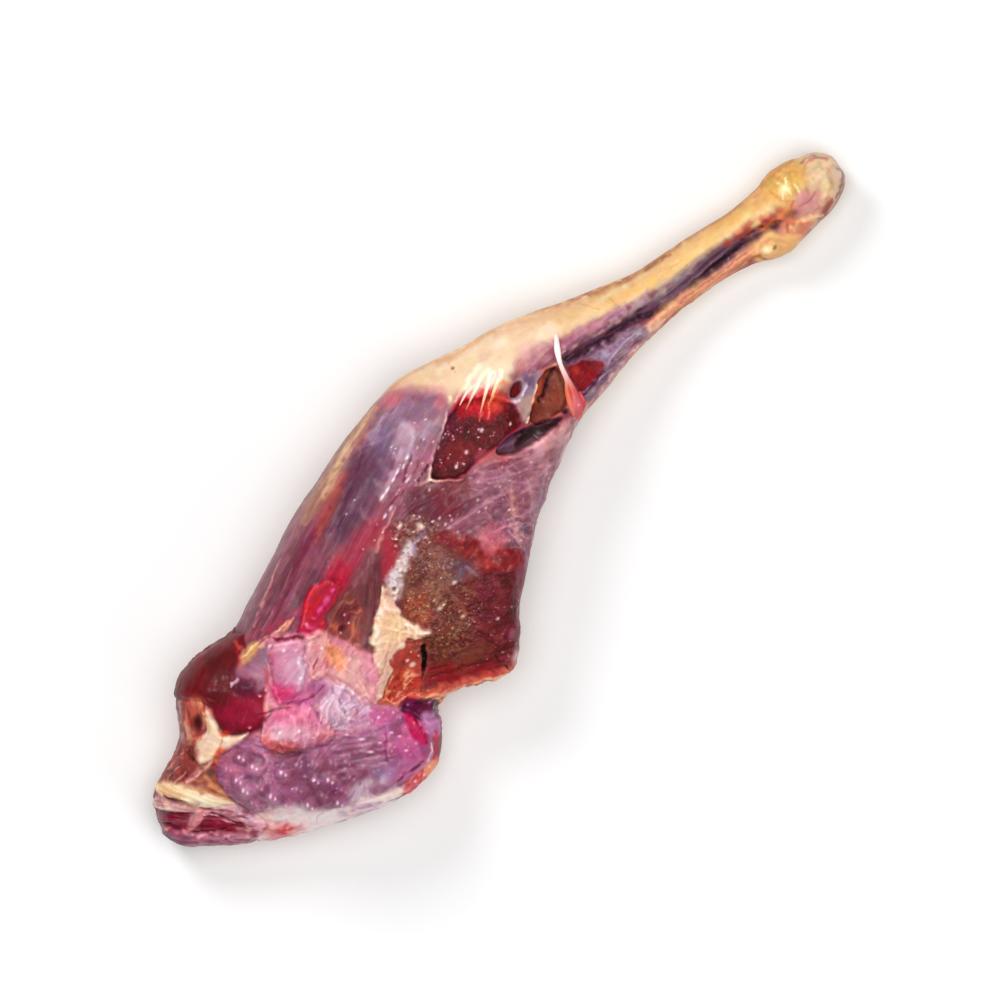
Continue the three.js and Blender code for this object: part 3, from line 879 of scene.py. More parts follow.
# %% Fat along the front edge
FRONT_STRIP = [(374, 408), (360, 428), (348, 446), (337, 465), (327, 484), (316, 506), (306, 522)]
front_strip = band(FRONT_STRIP, [5, 7, 9, 10, 10, 8, 4], 1.1, 3.0, 16)
paint(front_strip, (190, 134, 96), 0.85)
fibres(front_strip, 60, (236, 200, 152), (136, 84, 62), 0.6, 44, 3.4, 85, 0.2)
# The cream stroke down the middle of the strip is a painted highlight.
strokes(
    ([(372, 404), (352, 430), (334, 458), (318, 486), (304, 512)], [5, 6, 6, 6, 5], (136, 84, 62), 0.65,
     0, 1.6, -0.2),
    ([(350, 446), (341, 464), (333, 482), (325, 496)], [3, 6, 6, 3], (236, 198, 150), 0.5, 0, 2.2, -0.2),
    ([(346, 474), (339, 488), (331, 504), (323, 522), (318, 540)], [3, 6, 6.4, 6, 3], (208, 86, 64), 0.5,
     0, 2.4, -0.4),
    ([(346, 462), (336, 470), (326, 476)], [1.4, 2.4, 1.4], (176, 98, 62), 0.6, -0.2),
    ([(340, 424), (318, 462), (298, 492)], 1.6, (150, 96, 74), 0.6),
    ([(300, 494), (284, 518), (266, 552), (248, 592), (236, 624)], [3, 5, 6, 6, 5], (112, 48, 52), 0.75),
    ([(318, 506), (306, 520), (298, 534)], [5, 6, 5], (150, 88, 82), 0.6),
    ([(282, 560), (272, 584), (262, 606), (256, 626)], [1, 1.8, 2.2, 1.8], (206, 130, 126), 0.75, 0.5),
    ([(262, 580), (252, 604), (246, 622)], [3, 5, 4], (136, 102, 114), 0.6),
    ([(296, 560), (290, 578), (284, 596)], [1, 1.6, 1], (176, 96, 108), 0.5, 0.3),
    ([(276, 606), (272, 618), (264, 630)], 1.3, (200, 130, 148), 0.55, 0.3),
    ([(240, 640), (262, 632), (290, 618), (304, 606)], [3, 5, 5, 3], (178, 60, 84), 0.75),
    ([(258, 644), (276, 632), (296, 616)], 1.6, (222, 140, 120), 0.75, 0.6),
)
tell("front fat", front_strip)

# %% Tendon and glints
TENDON = [(398, 508), (388, 526), (379, 546), (367, 568), (352, 590), (338, 608)]
strokes(
    (TENDON, [1.6, 2.4, 2.6, 2.6, 2.2, 1.6], (214, 136, 124), 0.75, 0.7),
    ([(404, 500), (396, 512), (390, 522)], 1.4, (196, 120, 118), 0.6, 0.4),
    ([(372, 548), (366, 566), (356, 584)], [4, 8, 5], (172, 104, 110), 0.7, 0, 2),
)
raise_by(band([(402, 452), (392, 480), (380, 512), (362, 548), (344, 580)], [7], 1), 1.2)
# Painted shade in the grooves beside the raised band.
stroke([(412, 456), (402, 486), (392, 510)], [1.4, 2, 1.2], (112, 44, 62), 0.65, -0.9)
stroke([(420, 462), (412, 478), (402, 496)], 1.2, (128, 50, 66), 0.6, -0.5)
raise_by(band([(360, 466), (346, 500), (334, 540), (322, 580)], [5], 1), -0.7)
# Painted highlights in rows along the silverskin's fibres, and more scattered below.
GLINT_ROWS = (
    (398, 472, 7), (394, 480, 6), (388, 490, 7), (383, 497, 6), (408, 458, 5), (412, 464, 4),
    (404, 468, 4), (418, 448, 4), (409, 480, 5), (400, 490, 4), (392, 508, 5), (386, 516, 5),
    (378, 524, 4), (424, 440, 3), (426, 420, 4), (384, 532, 3), (376, 540, 3), (356, 500, 3),
    (348, 514, 3), (364, 548, 2.4),
)
for x, y, length in GLINT_ROWS:
    radius, amount = (1.9, 0.85) if length > 4 else (1.2, 0.6)
    blot(x, y, radius, (248, 238, 244), amount, length / 2, 60, 0.5)
glints(area([(400, 430), (436, 420), (428, 462), (404, 500), (386, 520), (384, 500)], 4), 20, 8,
       (0.8, 1.3), (1.6, 3.4), 60, (232, 206, 218), 0.3)

# %% Red cut
RED_CUT = [
    (300, 630), (305, 606), (312, 588), (326, 578), (340, 582), (337, 600), (328, 614), (326, 630),
    (312, 638),
]
red_cut = pillow(RED_CUT, 1.2, 6, 0.7)
paint(red_cut, (178, 16, 58))
# The magenta and pale pink strokes are painted highlights on the wet cut.
strokes(
    ([(306, 610), (312, 596), (320, 586)], [2, 4, 3], (210, 62, 52)),
    ([(334, 588), (326, 602), (316, 616)], [3, 4.4, 3], (224, 92, 142), 0.85, 0.4),
    ([(312, 616), (314, 606), (322, 598)], 2, (206, 0, 40), 0.8),
    ([(306, 622), (312, 626), (318, 622)], [2, 3, 2], (232, 150, 178), 0.75, 0.4),
    ([(330, 606), (328, 618), (322, 628)], [2.4, 3, 2], (226, 96, 70), 0.75, 0.3),
    ([(300, 632), (306, 634), (314, 632)], 1.6, (104, 8, 28), 0.8, -0.6),
)
finish_as(red_cut, 0.95, 0.1, 0)
tell("red cut", red_cut)

# %% [markdown]
# A dusty mauve membrane covers the back of the ham. It is thin, wrinkled and almost clear at its
# free edge, and an orange-red band shows where it stops above the flap.

# %% Ham membrane
MEMBRANE = [
    (418, 486), (440, 484), (462, 480), (482, 466), (500, 458), (530, 450), (560, 432), (578, 418),
    (584, 430), (570, 470), (556, 510), (542, 540), (528, 560), (510, 552), (480, 546), (455, 540),
    (432, 532), (412, 522), (398, 520), (396, 506), (408, 496),
]
membrane = patch(MEMBRANE, MAUVE, 4)
finish_as(membrane, 0.75, 0.35, 0)
patches(
    ([(414, 490), (440, 488), (462, 486), (464, 504), (450, 522), (424, 522), (402, 512)], (108, 56, 68),
     9, 0.85),
    ([(440, 484), (466, 480), (470, 500), (452, 520), (438, 512)], (122, 46, 52), 8, 0.7),
    ([(474, 470), (510, 456), (544, 448), (550, 462), (520, 478), (486, 484)], (178, 112, 130), 8, 0.75),
    ([(530, 446), (560, 428), (576, 420), (578, 436), (562, 464), (536, 470)], (224, 168, 166), 9, 0.9),
    ([(480, 452), (500, 454), (512, 460), (496, 468), (478, 464)], (182, 88, 90), 5, 0.8),
)
mottle(membrane, 9, [(172, 112, 128), (116, 60, 74)], 0.5, 91, 0.4)
crumple(membrane, 20, (198, 150, 164), (108, 54, 70), 0.42, 0.5, 26, 2.4, 92)
crumple(area([(480, 470), (540, 460), (540, 520), (520, 545), (490, 540), (470, 500)], 6), 9,
        (204, 162, 172), (126, 70, 88), 0.22, 0.25, 10, 1.5, 96)
for line in (
    [(474, 472), (490, 463), (514, 458), (536, 452)], [(492, 474), (508, 471), (520, 478)],
    [(476, 492), (498, 486), (520, 486)], [(452, 508), (474, 496), (492, 494)],
    [(548, 462), (544, 486), (536, 512)], [(560, 440), (556, 470), (550, 496)],
    [(566, 452), (560, 480), (552, 506)], [(522, 470), (530, 492), (530, 515)],
    [(440, 500), (456, 492), (476, 488)], [(500, 530), (520, 520), (538, 514)],
    [(486, 500), (500, 494), (508, 500)], [(456, 520), (466, 506), (480, 500)],
):
    stroke(line, [1.0, 2.2, 1.0], (212, 168, 180), 0.35, 0.3, 1.4, broken=0.3)
patch([(416, 490), (440, 490), (456, 498), (446, 516), (424, 522), (404, 514)], (96, 42, 52), 10, 0.6)
patch([(434, 496), (458, 492), (460, 510), (444, 520)], (112, 34, 42), 7, 0.6)
stroke([(510, 490), (514, 506), (512, 524)], [4, 5, 4], (208, 142, 126), 0.75, 0.3)
stroke([(518, 524), (516, 534), (522, 542)], [3, 3, 2], (206, 150, 130), 0.6, 0.3)
for x, y, size in ((504, 534, 8), (498, 542, 6), (514, 546, 7), (526, 528, 7), (506, 548, 6)):
    blot(x, y, size, (108, 76, 98), 0.75, 1.1, 20, -0.8)
crumple(area([(494, 524), (530, 518), (534, 548), (504, 556), (490, 544)], 4), 7, (186, 146, 156),
        (96, 60, 78), 0.55, 0.4, 0, 1.2, 97)
patch([(482, 528), (500, 524), (508, 540), (496, 552), (478, 546)], (206, 104, 118), 6, 0.7)
blot(540, 500, 9, (116, 84, 110), 0.6, 2.4, 72)
strokes(
    ([(570, 448), (558, 484), (547, 514), (534, 542), (525, 566)], [4, 4, 5, 5, 4], (166, 132, 152),
     0.75),
    ([(576, 436), (566, 466), (553, 500), (541, 532)], [1.6, 2.4, 2.4, 1.6], (196, 172, 190), 0.6, 0.3),
    ([(562, 462), (552, 492), (541, 520)], 1.2, (208, 186, 200), 0.6, 0.3, 1, 0.3),
)
glints(membrane, 22, 15, (0.9, 1.9), (1.0, 2.4), 30, (222, 188, 198), 0.35)
for x, y in ((430, 490), (446, 524), (458, 532), (464, 540), (452, 520), (440, 518), (478, 500), (486, 508)):
    blot(x, y, 1.8, (232, 208, 210), 0.7, 1.5, 60, 0.5)
tell("membrane", membrane)

# %% Red band
RED_BAND = [
    (432, 532), (460, 532), (490, 546), (514, 550), (520, 560), (512, 574), (490, 572), (462, 556),
    (440, 550),
]
red_band = patch(RED_BAND, (130, 40, 44), 5, wobble=4)
mottle(red_band, 4, [(162, 54, 46), (108, 36, 44)], 0.5, 98, 0.4)
stroke([(480, 560), (498, 564), (514, 566)], [5, 7, 5], (168, 50, 42), 0.55)
stroke([(486, 574), (500, 577), (514, 572)], [1, 1.8, 1], (80, 22, 28), 0.7, -0.5)
mottle(band([(440, 534), (466, 536), (490, 545)], [5], 1), 4, [(160, 100, 112)], 0.8, 99)
patch([(478, 538), (492, 536), (502, 544), (494, 553), (482, 550)], (196, 96, 108), 4, 0.8, 2, 0.6)
finish_as(red_band, 0.8, 0.2, 0.2)
tell("red band", red_band)

# %% [markdown]
# The flap is an old dried cut: granular and olive brown above, chestnut to the right, with a cream
# and orange rolled rim at its free lower edge and one short knife slit.

# %% Flap
FLAP = [
    (408, 552), (428, 540), (448, 546), (462, 558), (484, 570), (520, 572), (524, 610), (522, 650),
    (520, 672), (470, 684), (428, 696), (400, 704), (376, 700), (384, 676), (404, 654), (416, 640),
    (404, 622), (400, 600),
]
flap = patch(FLAP, (112, 52, 50), 3)
finish_as(flap, 0.75, 0, 0.6)
olive = patch([(408, 556), (436, 544), (454, 566), (450, 600), (430, 614), (406, 604)], (150, 100, 86), 8,
              0.9)
patches(
    ([(444, 590), (470, 584), (478, 606), (462, 632), (438, 626)], (116, 66, 56), 8, 0.8),
    ([(448, 558), (466, 562), (476, 574), (462, 582), (448, 574)], (122, 96, 126), 7, 0.75),
    ([(464, 570), (480, 578), (484, 600), (470, 620), (460, 600)], (98, 48, 46), 6, 0.75),
    ([(404, 602), (422, 592), (432, 606), (430, 622), (412, 620)], (180, 80, 56), 6, 0.8),
    ([(478, 578), (518, 578), (518, 640), (500, 658), (478, 640), (472, 606)], (84, 22, 34), 10, 0.9),
    ([(398, 648), (410, 634), (424, 640), (422, 668), (404, 676), (388, 670)], (176, 70, 60), 5, 0.9),
    ([(430, 632), (478, 630), (500, 656), (464, 668), (430, 672)], (104, 56, 42), 8, 0.75),
    ([(430, 664), (470, 662), (512, 654), (516, 664), (474, 678), (430, 684)], (150, 34, 42), 5, 0.7),
)
mottle(flap, 9, [(138, 66, 56), (88, 34, 40)], 0.45, 101, 0.5)
mottle(olive, 4, [(154, 108, 84), (98, 52, 48)], 0.5, 103, 0.4)
rough_part = np.clip(olive + area([(404, 600), (470, 580), (478, 640), (430, 660), (402, 640)], 8), 0, 1)
finish_as(rough_part, 0.9, 0, 1.0)
mottle(rough_part, 1.5, [(162, 112, 84), (84, 38, 38)], 0.5, 113, 0.3)
glints(rough_part, 36, 18, (0.8, 1.7), (1.0, 1.8), 30, (218, 186, 152), 0.4)
mottle(area([(478, 580), (520, 578), (520, 660), (478, 650)], 6), 4, [(136, 52, 60), (78, 26, 36)], 0.5,
       104, 0.25)
fibres(area([(474, 590), (520, 584), (520, 660), (474, 656)], 8), 8, (136, 60, 62), (82, 26, 36), 0.3, 22,
       3, 105, 0.1)
glints(area([(478, 580), (518, 580), (518, 656), (432, 660), (440, 630)], 4), 40, 19, (0.9, 1.5), (1, 2),
       10, (200, 130, 126), 0.3)
# Painted highlights on the wet flap.
for x, y, size in (
    (455, 582, 3), (440, 608, 3), (444, 604, 2), (463, 616, 2.4), (413, 664, 3.4), (498, 618, 2),
    (408, 660, 2),
):
    blot(x, y, size, (240, 222, 208), 0.8, 1.5, 35, 0.5)
strokes(
    ([(466, 566), (472, 571), (479, 577)], [1.4, 3, 1.8], (196, 166, 166), 0.4, 0.3, 1.8),
    ([(458, 604), (464, 612), (464, 622)], [2, 3, 2], (176, 110, 74), 0.6, 0.3),
    ([(470, 584), (478, 576), (484, 568)], 1.6, (66, 28, 34), 0.5),
)
tell("flap", flap)

# %% Rim of the flap
RIM_LINE = [(372, 696), (396, 702), (420, 697), (446, 688), (472, 680), (500, 672), (518, 664)]
rim = band(RIM_LINE, [8, 8, 8, 7, 6, 5, 4], 0.8, 1.6)
paint(rim, (212, 84, 72), 0.85)
raise_by(rim, 1.2)
mottle(rim, 5, [(226, 122, 80), (190, 48, 56)], 0.5, 107, 0.4)
strokes(
    ([(378, 698), (400, 702), (424, 697), (448, 689), (478, 680), (504, 672)], [3, 3, 2.2, 2.6, 1.8, 1.2],
     (246, 196, 138), 0.85, 0.5, 1.2, 0),
    ([(376, 704), (400, 708), (424, 703), (448, 694), (478, 685), (506, 676)], 3, (240, 200, 152), 0.8,
     0.3, 1, -0.3),
    ([(430, 676), (460, 668), (490, 660), (508, 652)], [2, 2.6, 2, 1.4], (104, 26, 34), 0.75, -0.5),
    ([(496, 654), (500, 662), (508, 668)], [1, 1.8, 1], (56, 16, 26), 0.8, -0.8),
)
swirl = area([(374, 698), (384, 684), (392, 674), (406, 668), (420, 676), (422, 688), (418, 696),
              (398, 702)], 5)
paint(swirl, (204, 82, 60), 0.85)
crumple(swirl, 9, (250, 208, 158), (158, 40, 42), 0.6, 0.45, 40, 1.8, 115)
for x, y in ((398, 678), (388, 684), (410, 684), (402, 690), (416, 692)):
    blot(x, y, 3, (150, 42, 42), 0.5, 1.3, 40, -0.4)
# The first two strokes are painted shade in the knife slit and its thin end.
strokes(
    ([(425, 645), (424, 656), (423, 668)], [2.4, 3.2, 2.4], (22, 10, 12), 0.97, -3.2, 0.7, -0.6),
    ([(423, 668), (422, 680), (421, 691)], [1.2, 0.9, 0.7], (70, 22, 22), 0.9, -1.4),
    ([(430, 668), (452, 664), (470, 666)], 1, (60, 20, 24), 0.6, -0.4, 1, 0.3),
    ([(519, 574), (520, 610), (518, 648)], [4, 4, 5], (146, 80, 94), 0.7),
)
blot(516, 656, 8, (222, 186, 184), 0.85, 1.4, 80)
blot(512, 634, 6, (176, 112, 128), 0.6, 1.6, 80)
tell("rim", rim)

# %% [markdown]
# A seam of fat runs down between the thigh and the flap. It is glassy and speckled at the top,
# broad and creamy in the middle, and thin at the bottom.

# %% Fat seam
dark_left = patch([(366, 558), (380, 554), (386, 590), (380, 630), (376, 658), (366, 654), (360, 624),
                   (360, 590)], (116, 62, 66), 5)
fibres(dark_left, 84, (130, 76, 84), (78, 38, 50), 0.35, 40, 4, 109, 0.15)
finish_as(dark_left, 0.6, 0.3, 0)
stroke([(376, 546), (370, 564), (364, 580)], [4, 6, 4], (162, 98, 106), 0.55, 0, 2)
raise_by(band([(372, 570), (370, 600), (370, 640), (370, 656)], [6], 1), -1.0)
patch([(338, 600), (352, 588), (362, 600), (362, 648), (346, 652), (332, 640), (330, 616)], (132, 66, 62),
      5)
mottle(area([(336, 604), (362, 600), (362, 648), (334, 644)], 4), 5, [(168, 74, 62), (110, 36, 46)], 0.45,
       110, 0.3)
crumple(area([(332, 612), (350, 600), (362, 606), (364, 654), (344, 652), (330, 644)], 4), 12,
        (214, 118, 86), (98, 26, 40), 0.5, 0.45, 60, 1.6, 116)
blot(344, 628, 5, (92, 30, 36), 0.8, 1.3, 30, -1.2)
for x, y in ((342, 632), (350, 622), (346, 614)):
    blot(x, y, 1.6, (246, 222, 212), 0.8, 1.0, 0, 0.4)
patch([(384, 540), (394, 526), (404, 528), (402, 548), (396, 566), (390, 580), (383, 574)], (172, 44, 58),
      6, 0.85)
patch([(392, 526), (410, 516), (428, 518), (438, 530), (430, 546), (412, 552), (398, 544)], (118, 62, 58),
      5, 0.85)
glassy = patch([(402, 552), (412, 540), (413, 554), (402, 578), (398, 596), (387, 596), (390, 576)],
               (232, 224, 222), 4, 0.9, 3, 0.7)

# %% Cream fat of the seam
SEAM_FAT = [
    (382, 588), (400, 588), (401, 606), (410, 618), (424, 624), (427, 632), (418, 636), (404, 636),
    (397, 656), (390, 672), (382, 688), (370, 700), (364, 690), (372, 672), (376, 656), (370, 640),
    (373, 622), (380, 606),
]
seam_fat = pillow(SEAM_FAT, 1.4, 5, 0.4, wobble=4.0, seed=5)
paint(seam_fat, (234, 190, 162))
mottle(seam_fat, 6, [(248, 228, 204), (226, 172, 140)], 0.5, 111, 0.3)
crumple(seam_fat, 9, (252, 234, 216), (212, 148, 122), 0.35, 0.4, 70, 1.4, 117)
patch([(384, 612), (400, 612), (402, 636), (388, 642), (380, 628)], (240, 198, 148), 6, 0.6)
blot(382, 612, 5, (246, 226, 214), 0.8, 1.5, 80, 0.4)
blot(377, 632, 5, (240, 220, 214), 0.8, 1.4, 80, 0.4)
strokes(
    ([(394, 642), (386, 660), (378, 680), (368, 698)], [3, 4, 5, 4], (232, 186, 166), 0.75),
    ([(388, 650), (382, 668), (374, 684)], 1.2, (204, 136, 112), 0.7, -0.3),
    ([(364, 660), (370, 668), (372, 680)], [3, 4, 3], (238, 190, 130), 0.7),
    ([(406, 622), (416, 626), (424, 634)], [1.4, 2, 1.4], (248, 226, 206), 0.7, 0.3),
)
SPECKS = [(394, 524), (412, 514), (432, 518), (440, 530), (430, 546), (408, 556), (394, 548)]
speck_zone = np.clip(glassy + area(SPECKS, 5), 0, 1)
finish_as(speck_zone, 1.0, 0, 0.6)
finish_as(seam_fat, 0.5, 0, 0.2)
mottle(speck_zone, 2.0, [(186, 150, 138), (104, 52, 50)], 0.5, 114, 0.4)
mottle(glassy, 2.6, [(246, 238, 232), (160, 122, 126)], 0.55, 118, 0.4)
glints(speck_zone, 34, 21, (1.2, 2.8), (1.0, 1.6), 40, (226, 208, 190), 0.6)
blot(421, 526, 5, (226, 206, 178), 0.85, 1.4, 150, 0.8)
blot(395, 588, 3.4, (104, 64, 66), 0.8, 1.0, 0, -0.6)
stroke([(414, 548), (418, 540), (426, 532)], [2, 3, 2], (150, 128, 170), 0.6)
tell("fat seam", seam_fat)

# %% [markdown]
# The hip end is where the leg was cut from the loin. It shows a round maroon muscle, cream fat
# in ribs, and thin layers that lie open like the pages of a book.

# %% Hip
KNOB = [
    (241, 634), (218, 638), (195, 656), (176, 674), (172, 693), (189, 699), (206, 702), (216, 716),
    (227, 732), (244, 733), (262, 724), (270, 708), (272, 690), (264, 676), (248, 664), (246, 648),
]
HIP_GROUND = [
    (170, 690), (214, 700), (232, 734), (262, 730), (300, 752), (262, 800), (250, 846), (150, 852),
    (146, 790), (168, 740),
]
hip_zone = patch(HIP_GROUND, (132, 62, 62), 5)
knob = pillow(KNOB, 1.8, 16, 0.8, 2.5, 2.0)
paint(knob, (100, 12, 32))
mottle(knob, 12, [(128, 42, 48), (88, 16, 34)], 0.6, 121, 0.3)
mottle(knob, 4, [(132, 44, 56), (86, 18, 36)], 0.35, 122, 0.12)
patches(
    ([(178, 680), (194, 662), (210, 664), (206, 690), (190, 698)], (106, 26, 36), 8, 0.8),
    ([(224, 700), (246, 694), (266, 696), (268, 712), (250, 728), (230, 724), (218, 712)], (152, 8, 58),
     9, 0.9),
    ([(206, 656), (226, 650), (232, 680), (224, 700), (210, 690)], (92, 16, 36), 9, 0.6),
)
stroke([(232, 640), (214, 652), (196, 666)], [4, 6, 4], (134, 54, 54), 0.5)
stroke([(264, 716), (271, 702), (273, 686)], [2.4, 4, 3], (204, 34, 56), 0.85, 0.4)
fibres(knob, 70, (138, 44, 58), (88, 16, 34), 0.16, 34, 4.4, 123, 0.05)
finish_as(knob, 0.55, 0.1, 0)
blot(247, 686, 12, (92, 36, 58), 0.95, 1.35, -20)
patch([(240, 664), (252, 654), (268, 658), (271, 676), (262, 692), (256, 680), (242, 676)],
      (160, 106, 126), 4, 0.85)
patch([(252, 666), (266, 662), (268, 676), (256, 676)], (186, 132, 154), 4, 0.7)
blot(246, 685, 8.5, (84, 28, 48), 0.85, 1.35, -15)
# A painted highlight on the left of the dark oval.
stroke([(234, 684), (238, 680), (242, 678)], [1.4, 2, 1.4], (210, 176, 190), 0.8, 0.5)
stroke([(240, 642), (243, 654), (242, 668)], [3, 4, 2], (206, 84, 60), 0.8)
patch([(244, 650), (256, 640), (262, 644), (256, 656), (246, 662)], (226, 164, 108), 3, 0.9)
stroke([(246, 656), (254, 648), (262, 642)], [1, 1.6, 1], (250, 222, 170), 0.85, 0.5)
patch([(262, 644), (276, 638), (278, 652), (268, 662), (260, 654)], (150, 120, 140), 4, 0.85)
strokes(
    ([(262, 646), (276, 636), (290, 624), (296, 616)], [1.6, 2.4, 2, 1.2], (232, 158, 122), 0.85, 0.8),
    ([(268, 640), (280, 630), (288, 620)], 1, (250, 206, 160), 0.7, 0.4),
    ([(268, 658), (272, 674), (278, 690), (282, 702)], [1.4, 2, 2.4, 1.6], (240, 190, 158), 0.85, 0.9),
)
patch([(272, 680), (280, 694), (278, 706), (266, 714), (268, 700)], (240, 196, 164), 2.4, 0.92, 2, 0.3)
stroke([(266, 668), (270, 682), (268, 698)], [1.4, 2.2, 1.6], (206, 44, 58), 0.75)
# Painted highlights on the wet knob.
for x, y in ((262, 694), (268, 688), (252, 726), (234, 682)):
    blot(x, y, 1.8, (238, 190, 196), 0.8, 1.3, 30, 0.4)
tell("knob", knob)

# %% Fat ribs
FAT_RIBS = [
    (205, 706), (213, 706), (219, 722), (226, 733), (244, 732), (250, 732), (236, 746), (216, 757),
    (203, 763), (194, 752), (195, 738), (208, 730),
]
ribs = pillow(FAT_RIBS, 1.6, 6, 0.7, wobble=1.6, seed=9)
paint(ribs, (231, 198, 171))
mottle(ribs, 6, [(246, 230, 208), (222, 184, 146)], 0.55, 125, 0.4)
strokes(
    ([(222, 728), (224, 740), (220, 752)], 1.4, (196, 156, 124), 0.7, -0.4),
    ([(208, 712), (212, 726), (206, 740)], 1.2, (206, 168, 130), 0.6, -0.3),
    ([(196, 758), (204, 764), (212, 762)], 2, (240, 204, 130), 0.8),
)
blot(227, 732, 5, (224, 70, 50), 0.9, 1.6, 10)
finish_as(ribs, 0.5, 0, 0.15)
stroke([(183, 699), (194, 695), (206, 702), (214, 714)], [5, 7, 6, 4], (154, 64, 48), 0.6, 0, 1.6)
tell("fat ribs", ribs)

# %% Brown meat of the hip
rust = patch([(186, 700), (206, 700), (208, 722), (200, 742), (186, 744), (184, 716)], (194, 86, 72), 3)
fibres(rust, -82, (214, 142, 108), (132, 54, 46), 0.6, 24, 3, 127, 0.4)
blot(198, 723, 8, (62, 20, 22), 0.9, 1.5, 80, -1.4)
strokes(
    ([(206, 712), (208, 724), (204, 736)], [2, 3, 2], (214, 140, 94), 0.8, 0.6),
    ([(184, 722), (190, 732), (190, 744)], [3, 4, 3], (212, 164, 130), 0.8, 0.5),
    ([(180, 702), (180, 720), (184, 742)], [3, 3.4, 2.4], (180, 150, 152)),
)
patch([(178, 746), (196, 744), (200, 762), (186, 788), (164, 790), (160, 766)], (144, 60, 56), 5)
mottle(area([(172, 746), (196, 744), (196, 764), (184, 788), (164, 790)], 4), 4, [(184, 96, 78),
                                                                                  (96, 30, 36)], 0.6, 128,
       0.4)
stroke([(196, 740), (194, 750), (192, 760)], [2, 3, 2], (58, 18, 26), 0.75, -0.8)
for line in (
    [(164, 786), (172, 774), (184, 764)], [(166, 772), (176, 760), (188, 750)],
    [(170, 790), (180, 780), (188, 770)],
):
    stroke(line, [0.7, 1.3, 0.7], (214, 158, 140), 0.7, 0.5)
stroke([(178, 790), (194, 776), (212, 762)], [4, 5, 4], (206, 142, 130), 0.85, 0.8)
stroke([(184, 786), (198, 774), (210, 764)], [0.8, 1.2, 0.8], (236, 190, 176), 0.7, 0.3)
patch([(200, 780), (212, 768), (224, 774), (230, 788), (214, 790)], (158, 84, 64), 5, 0.85)
blot(212, 772, 5, (84, 60, 62), 0.7, 1.4, 40, -0.6)
patch([(216, 758), (222, 748), (230, 750), (228, 764), (220, 770)], (220, 92, 48), 2.6, 0.9)
blot(224, 757, 4, (246, 150, 76), 0.7, 1.3, 60)
stroke([(214, 764), (222, 768), (228, 764)], [2, 3, 2], (150, 24, 36), 0.8, -0.4)
for line, half, colour in (
    ([(194, 778), (210, 784), (228, 794)], [2.4, 4, 2.4], (214, 138, 98)),
    ([(184, 782), (200, 788), (220, 794)], [1.6, 2.4, 1.6], (194, 118, 78)),
    ([(188, 788), (204, 792), (222, 798)], [1, 1.6, 1], (160, 92, 62)),
):
    stroke(line, half, colour, 0.8, 0.4)

# %% Cream band
CREAM_BAND = [
    (157, 782), (172, 782), (190, 788), (214, 795), (240, 804), (228, 810), (204, 809), (182, 804),
    (163, 797),
]
stroke([(162, 782), (180, 786), (200, 790), (222, 798)], [3, 5, 6, 4], (218, 148, 104), 0.8, 0.2, 1.6,
       -0.3)
cream_band = pillow(CREAM_BAND, 0.9, 6, 0.2, wobble=2.4, seed=11, soft=4.0)
paint(cream_band, (250, 220, 176), 0.92)
fibres(cream_band, -18, (255, 238, 206), (228, 154, 94), 0.6, 34, 3.0, 130, 0.3)
strokes(
    ([(160, 786), (172, 790), (186, 796)], [2, 3.4, 2], (226, 150, 92), 0.6, 0, 1.5, -0.2),
    ([(184, 797), (200, 802), (216, 805)], [2, 3, 2], (255, 238, 210), 0.7, 0.3, 1.4),
    ([(206, 776), (216, 786), (228, 797)], [2, 3, 2], (210, 138, 92), 0.7, 0.2, 1.4),
    ([(222, 782), (230, 792), (240, 801)], [1.6, 2.4, 1.6], (92, 52, 42), 0.7, -0.3, 1.4),
    ([(164, 795), (172, 798), (182, 800)], [1.2, 1.8, 1], (74, 26, 34), 0.9, -0.9),
)
tell("cream band", cream_band)

# %% Open layers at the hip
for outline, colour, height in (
    ([(152, 798), (166, 798), (186, 804), (204, 808), (194, 813), (172, 812), (152, 810)],
     (236, 192, 176), 0.7),
    ([(150, 812), (176, 812), (194, 813), (190, 830), (168, 832), (150, 828)], (136, 28, 58), -1.2),
    ([(194, 810), (208, 808), (212, 810), (202, 824), (190, 832), (187, 830)], (226, 144, 150), 1.0),
    ([(206, 812), (222, 814), (244, 824), (240, 830), (214, 834), (200, 832)], (134, 34, 56), -1.0),
    ([(152, 830), (190, 832), (216, 836), (250, 832), (252, 848), (214, 852), (156, 852)],
     (176, 104, 132), 0.4),
    ([(212, 806), (236, 804), (256, 812), (266, 824), (256, 830), (240, 824), (220, 816)],
     (220, 160, 170), 0.9),
):
    layer = pillow(outline, height, 4, 0.6, 1.8, 1.2, seed=int(abs(height) * 10))
    paint(layer, colour, 0.95)
blot(175, 837, 10, (92, 38, 70), 0.75, 1.9, -15)
stroke([(178, 846), (204, 850), (234, 848)], [3, 4, 3], (124, 54, 84), 0.6, 0, 1.6)
layers = area([(150, 798), (212, 806), (262, 812), (262, 850), (150, 852)], 4)
fibres(layers, -4, (224, 144, 156), (100, 28, 52), 0.4, 30, 3, 131, 0.35)
mottle(layers, 5, [(186, 92, 112), (94, 24, 50)], 0.3, 132, 0.3)
